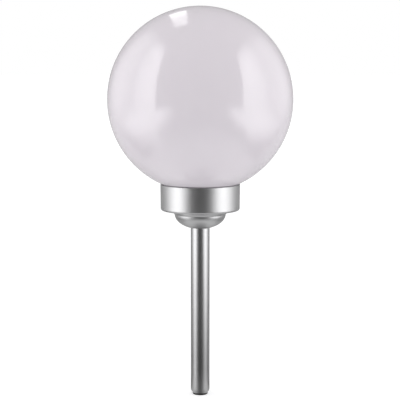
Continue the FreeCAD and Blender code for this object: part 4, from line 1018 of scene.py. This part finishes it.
def ribbed_knob():
    """The stem as a stack of rectangles along X whose lower edge rises and falls as a raised cosine,
    one wave for each rib, and the plate above it as a box."""
    steps = 12 * GRIP_RIBS + 1
    share = np.linspace(0, 1, steps)
    x = KNOB_REST - KNOB_LENGTH / 2 + share * KNOB_LENGTH
    low = KNOB_BOTTOM + GRIP_DEPTH * (0.5 + 0.5 * np.cos(share * GRIP_RIBS * FULL_TURN))
    high = KNOB_PLATE_BASE + KNOB_PLATE / 2
    stem = capped_sweep(np.stack([
        np.column_stack([x, np.full(steps, SWITCH_CIRCLE + side * KNOB_WIDTH / 2), level + 0 * x])
        for side, level in ((-1, high), (-1, low), (1, low), (1, high))], axis=1))
    plate = block(KNOB_LENGTH + 2 * KNOB_OVERHANG, KNOB_WIDTH + 2 * KNOB_OVERHANG, KNOB_PLATE,
                  KNOB_REST, SWITCH_CIRCLE, KNOB_PLATE_BASE)
    return stem, plate


knob_black = moulded_black("black_acetal", "#202021", grain=0.25, roughness=0.4)
knob = bevelled(make_piece("switch_knob_ribbed", *ribbed_knob()), 0.12 * MM)
finish_piece(knob, knob_black, "black_plastic", "switch_knob", body="knob")

# ---- The floor and the studio ----
# A pale floor runs to the horizon. Two tall soft boxes stand either side and a little in front, a small
# window of light hangs behind, and the room is dim towards the camera.

FLOOR_HALF = 30.0
FLOOR_THICKNESS = 0.01
FLOOR_GLOW = 0.38
FLOOR_PALE = "#F0F0F1"
WHITE = (1, 1, 1, 1)


def bare_tree(owner):
    """The node tree of a material or of the world, emptied."""
    owner.use_nodes = True
    owner.node_tree.nodes.clear()
    return owner.node_tree


def looked_at(tree):
    """1 for what the camera looks at, straight or through a clear piece, and 0 for all other light."""
    rays = add(tree, "LightPath").outputs
    return add(tree, "Math", {"operation": "MAXIMUM"}, _0=rays["Is Camera Ray"],
               _1=rays["Is Transmission Ray"])


floor = make_piece("studio_floor", block(2 * FLOOR_HALF, 2 * FLOOR_HALF, FLOOR_THICKNESS,
                                         0, 0, -FLOOR_THICKNESS))
floor_material = bpy.data.materials.new("pale_floor")
tree = bare_tree(floor_material)
pale = add(tree, "BsdfDiffuse", Color=linear(FLOOR_PALE))
glow_level = add(tree, "Math", {"operation": "MULTIPLY"}, _0=looked_at(tree), _1=FLOOR_GLOW)
glow = add(tree, "Emission", Color=WHITE, Strength=glow_level)
add(tree, "OutputMaterial", Surface=add(tree, "AddShader", _0=pale, _1=glow))
floor.data.materials.append(floor_material)
floor.visible_glossy = False

SIDE_PLANE = 0.51
BOX_FOOT = -0.25
BOX_STEPS = 48
BOX_ACROSS = 3 * BOX_STEPS
BOX_LEAN = 0.24
BOX_DIM_BELOW = -0.15
FRONT_EDGE = 0.012
FRONT_DRAWN_BACK = (0.14, -0.05)
SPILL_REACH = 0.58
SPILL_SHARE = 0.95
SPILL_LEVELS = (0.30, 0.15)
SPILL_FOOT_LEVELS = (0.1, -0.1)
SPILL_FOOT_LOSS = 0.6
BACK_REACH = 0.30
BACK_LEVELS = (0.30, 0.14)
BACK_FOOT_LEVELS = (-0.12, 0.2)
SIDE_LOSS = 0.3
SIDE_LOSS_FROM_TO = (-0.2, 0.3)
TAIL_SHARE = 0.35
TAIL_END = 0.8
TAIL_LEVELS = (-0.15, 0.34)
EVEN_SHARE = 0.9
HEAD_LEVELS = (0.2, 0.4)
TOP_FADE = 0.34
BACKDROP_GLOW = 0.42
BACKDROP_LEVELS = (0.45, 0.1)
BACKDROP_FROM_TO = (0.05, 0.4)


def smooth_share(value, start, end):
    """The share of the way from start to end, eased at both ends: t squared times (3 - 2 t)."""
    share = np.clip((value - start) / (end - start), 0, 1)
    return share * share * (3 - 2 * share)


def light_sheet(name, points, faces, glow):
    """A sheet of light that only reflections show, with one glow, or one for each of its points."""
    mesh = bpy.data.meshes.new(name)
    mesh.from_pydata(points.tolist(), [], faces)
    material = bpy.data.materials.new(name)
    tree = bare_tree(material)
    if isinstance(glow, np.ndarray):
        levels = mesh.attributes.new("glow", "FLOAT", "POINT").data
        levels.foreach_set("value", glow.ravel().astype(np.float32))
        glow = add(tree, "Attribute", {"attribute_name": "glow"}).outputs["Fac"]
    add(tree, "OutputMaterial", Surface=add(tree, "Emission", Color=WHITE, Strength=glow))
    mesh.materials.append(material)
    sheet = placed(name, mesh)
    sheet.visible_camera = False
    sheet.visible_diffuse = False
    sheet.visible_shadow = False


def soft_box(name, side, near, full, far, height, strength, foot, even_above, back):
    """A tall glowing sheet in the plane x = side, that drifts back by its lean times the share of the
    height to the power 2.5. Its light is strength times the greater of a body, sharp at y = near and a
    weaker spill in front of it, times the greater of an even share, which eases off from y = full to
    far, and a weak tail; then times the share of the level. Low down the body's front edge draws back
    by back, the spill grows to its full share and dims again under the foot, and the body reaches
    further behind. It loses a little towards the rear, falls to the share foot below even_above and to
    nothing at its top, and is nowhere darker than the backdrop behind the light."""
    up = np.linspace(BOX_FOOT, height, BOX_STEPS)[:, None]
    drift = BOX_LEAN * np.maximum(0, up / height) ** 2.5
    y = np.linspace(near - SPILL_REACH, TAIL_END, BOX_ACROSS)[None, :] + drift
    front = near + drift + back * smooth_share(up, *FRONT_DRAWN_BACK)
    lit = smooth_share(y, front - FRONT_EDGE, front + FRONT_EDGE)
    spill = smooth_share(y, front - SPILL_REACH, front) * smooth_share(up, *SPILL_LEVELS)
    spill = spill * (1 - SPILL_FOOT_LOSS * smooth_share(up, *SPILL_FOOT_LEVELS))
    low = BACK_REACH * smooth_share(up, *BACK_LEVELS) * smooth_share(up, *BACK_FOOT_LEVELS)
    body = 1 - smooth_share(y - drift, full + low / 2, far + low)
    body = body * (1 - SIDE_LOSS * smooth_share(y, *SIDE_LOSS_FROM_TO))
    tail = TAIL_SHARE * smooth_share(up, *TAIL_LEVELS) * (1 - smooth_share(y - drift, 0, TAIL_END))
    glow = strength * np.maximum(lit, SPILL_SHARE * spill) * np.maximum(body, tail)
    glow = glow * (foot + (EVEN_SHARE - foot) * smooth_share(up, BOX_DIM_BELOW, even_above)
                   + (1 - EVEN_SHARE) * smooth_share(up, *HEAD_LEVELS))
    glow = glow * smooth_share(up, height, height - TOP_FADE)
    backdrop = BACKDROP_GLOW * (0.75 + 0.5 * smooth_share(up, *BACKDROP_LEVELS))
    glow = np.maximum(glow, backdrop * smooth_share(y, *BACKDROP_FROM_TO))
    points = np.stack([np.full_like(y, side), y, up + 0 * y], axis=-1).reshape(-1, 3)
    faces = grid_faces(BOX_STEPS, BOX_ACROSS, ring=False)
    light_sheet(name, points, faces.reshape(-1, 4).tolist(), glow)


soft_box("soft_box_left", -SIDE_PLANE, near=-0.42, full=-0.36, far=0.16, height=1.2, strength=4.26,
         foot=0.42, even_above=0.13, back=0.08)
soft_box("soft_box_right", SIDE_PLANE, near=-0.455, full=-0.34, far=0.17, height=1.08, strength=4.1,
         foot=0.15, even_above=0.08, back=0.205)

WINDOW_GLOW = 2.9
window_corners = np.array([(-0.183, 0.531, 0.798), (-0.078, 0.545, 0.809), (-0.119, 0.158, 1.060),
                           (-0.246, 0.128, 1.035)])
light_sheet("window_light", window_corners, [[0, 1, 2, 3]], WINDOW_GLOW)

# A disc of light that only reflections show paints the floor's shade close round the foot, where the light
# stands in its own shade: dim in front of the foot and brighter to its sides.
SHADE_RADIUS = 70 * MM
SHADE_DROP = 0.5 * MM
SHADE_RINGS = 12
SHADE_SEGMENTS = 48

shade_profile = np.column_stack([np.linspace(0, SHADE_RADIUS, SHADE_RINGS),
                                 np.full(SHADE_RINGS, -SHADE_DROP)])
shade_points, shade_faces = turned(shade_profile, SHADE_SEGMENTS)
shade_x, shade_y = shade_points[:, 0], shade_points[:, 1]
shade_side = np.abs(shade_x) / np.maximum(np.hypot(shade_x, shade_y), MM)
# painted shade: the disc's glow is low in front of the foot and rises towards its sides
shade_glow = 0.2 + 0.7 * smooth_share(shade_side, 0.1, 0.9) * smooth_share(shade_y, 30 * MM, -5 * MM)
light_sheet("foot_shade", shade_points, shade_faces[:(SHADE_RINGS - 1) * SHADE_SEGMENTS], shade_glow)

world = bpy.data.worlds.new("studio")
bpy.context.scene.world = world
tree = bare_tree(world)
world.cycles.sampling_method = "NONE"
direction = add(tree, "SeparateXYZ", Vector=add(tree, "TexCoord").outputs["Generated"]).outputs
# Gloss sees a room that is dim towards the camera, brighter behind the light and more so below the
# horizon, and bright straight below.
behind = add(tree, "MapRange", {"interpolation_type": "SMOOTHSTEP"}, Value=direction["Y"],
             _1=-0.6, _2=1.0, _3=0.05, _4=0.42)
low_share = add(tree, "MapRange", {"interpolation_type": "SMOOTHSTEP"}, Value=direction["Z"],
                _1=0.05, _2=-0.2, _3=0.75, _4=1.25)
behind = add(tree, "Math", {"operation": "MULTIPLY"}, _0=behind, _1=low_share)
below = add(tree, "MapRange", {"interpolation_type": "SMOOTHSTEP"}, Value=direction["Z"],
            _1=-0.36, _2=-0.93, _3=0.0, _4=1.3)
gloss_level = add(tree, "Math", {"operation": "MAXIMUM"}, _0=behind, _1=below)
# Matt surfaces are lit evenly from all round, and more from the two sides.
across = add(tree, "Math", {"operation": "MULTIPLY"}, _0=direction["X"], _1=direction["X"])
side_level = add(tree, "MapRange", Value=across, _1=0.0, _2=1.0, _3=0.56, _4=1.83)
is_gloss = add(tree, "LightPath").outputs["Is Glossy Ray"]
room = add(tree, "Mix", {"data_type": "FLOAT"}, _0=is_gloss, _2=side_level, _3=gloss_level)
level = add(tree, "Mix", {"data_type": "FLOAT"}, _0=looked_at(tree), _2=room, _3=1.0)
add(tree, "OutputWorld", Surface=add(tree, "Background", Color=WHITE, Strength=level))

# ---- The camera ----
# A long lens 1.3 m in front, a little above the middle of the light and tipped down.

CAMERA_TIP = 6.58

camera_data = bpy.data.cameras.new("camera")
camera_data.lens = 108.0
camera_data.sensor_width = 36.0
camera = placed("camera", camera_data)
camera.location = (-0.0002, -1.2953, 0.3648)
camera.rotation_euler = (math.radians(90 - CAMERA_TIP), 0, 0)
bpy.context.scene.camera = camera
bpy.context.scene.view_settings.view_transform = "Standard"
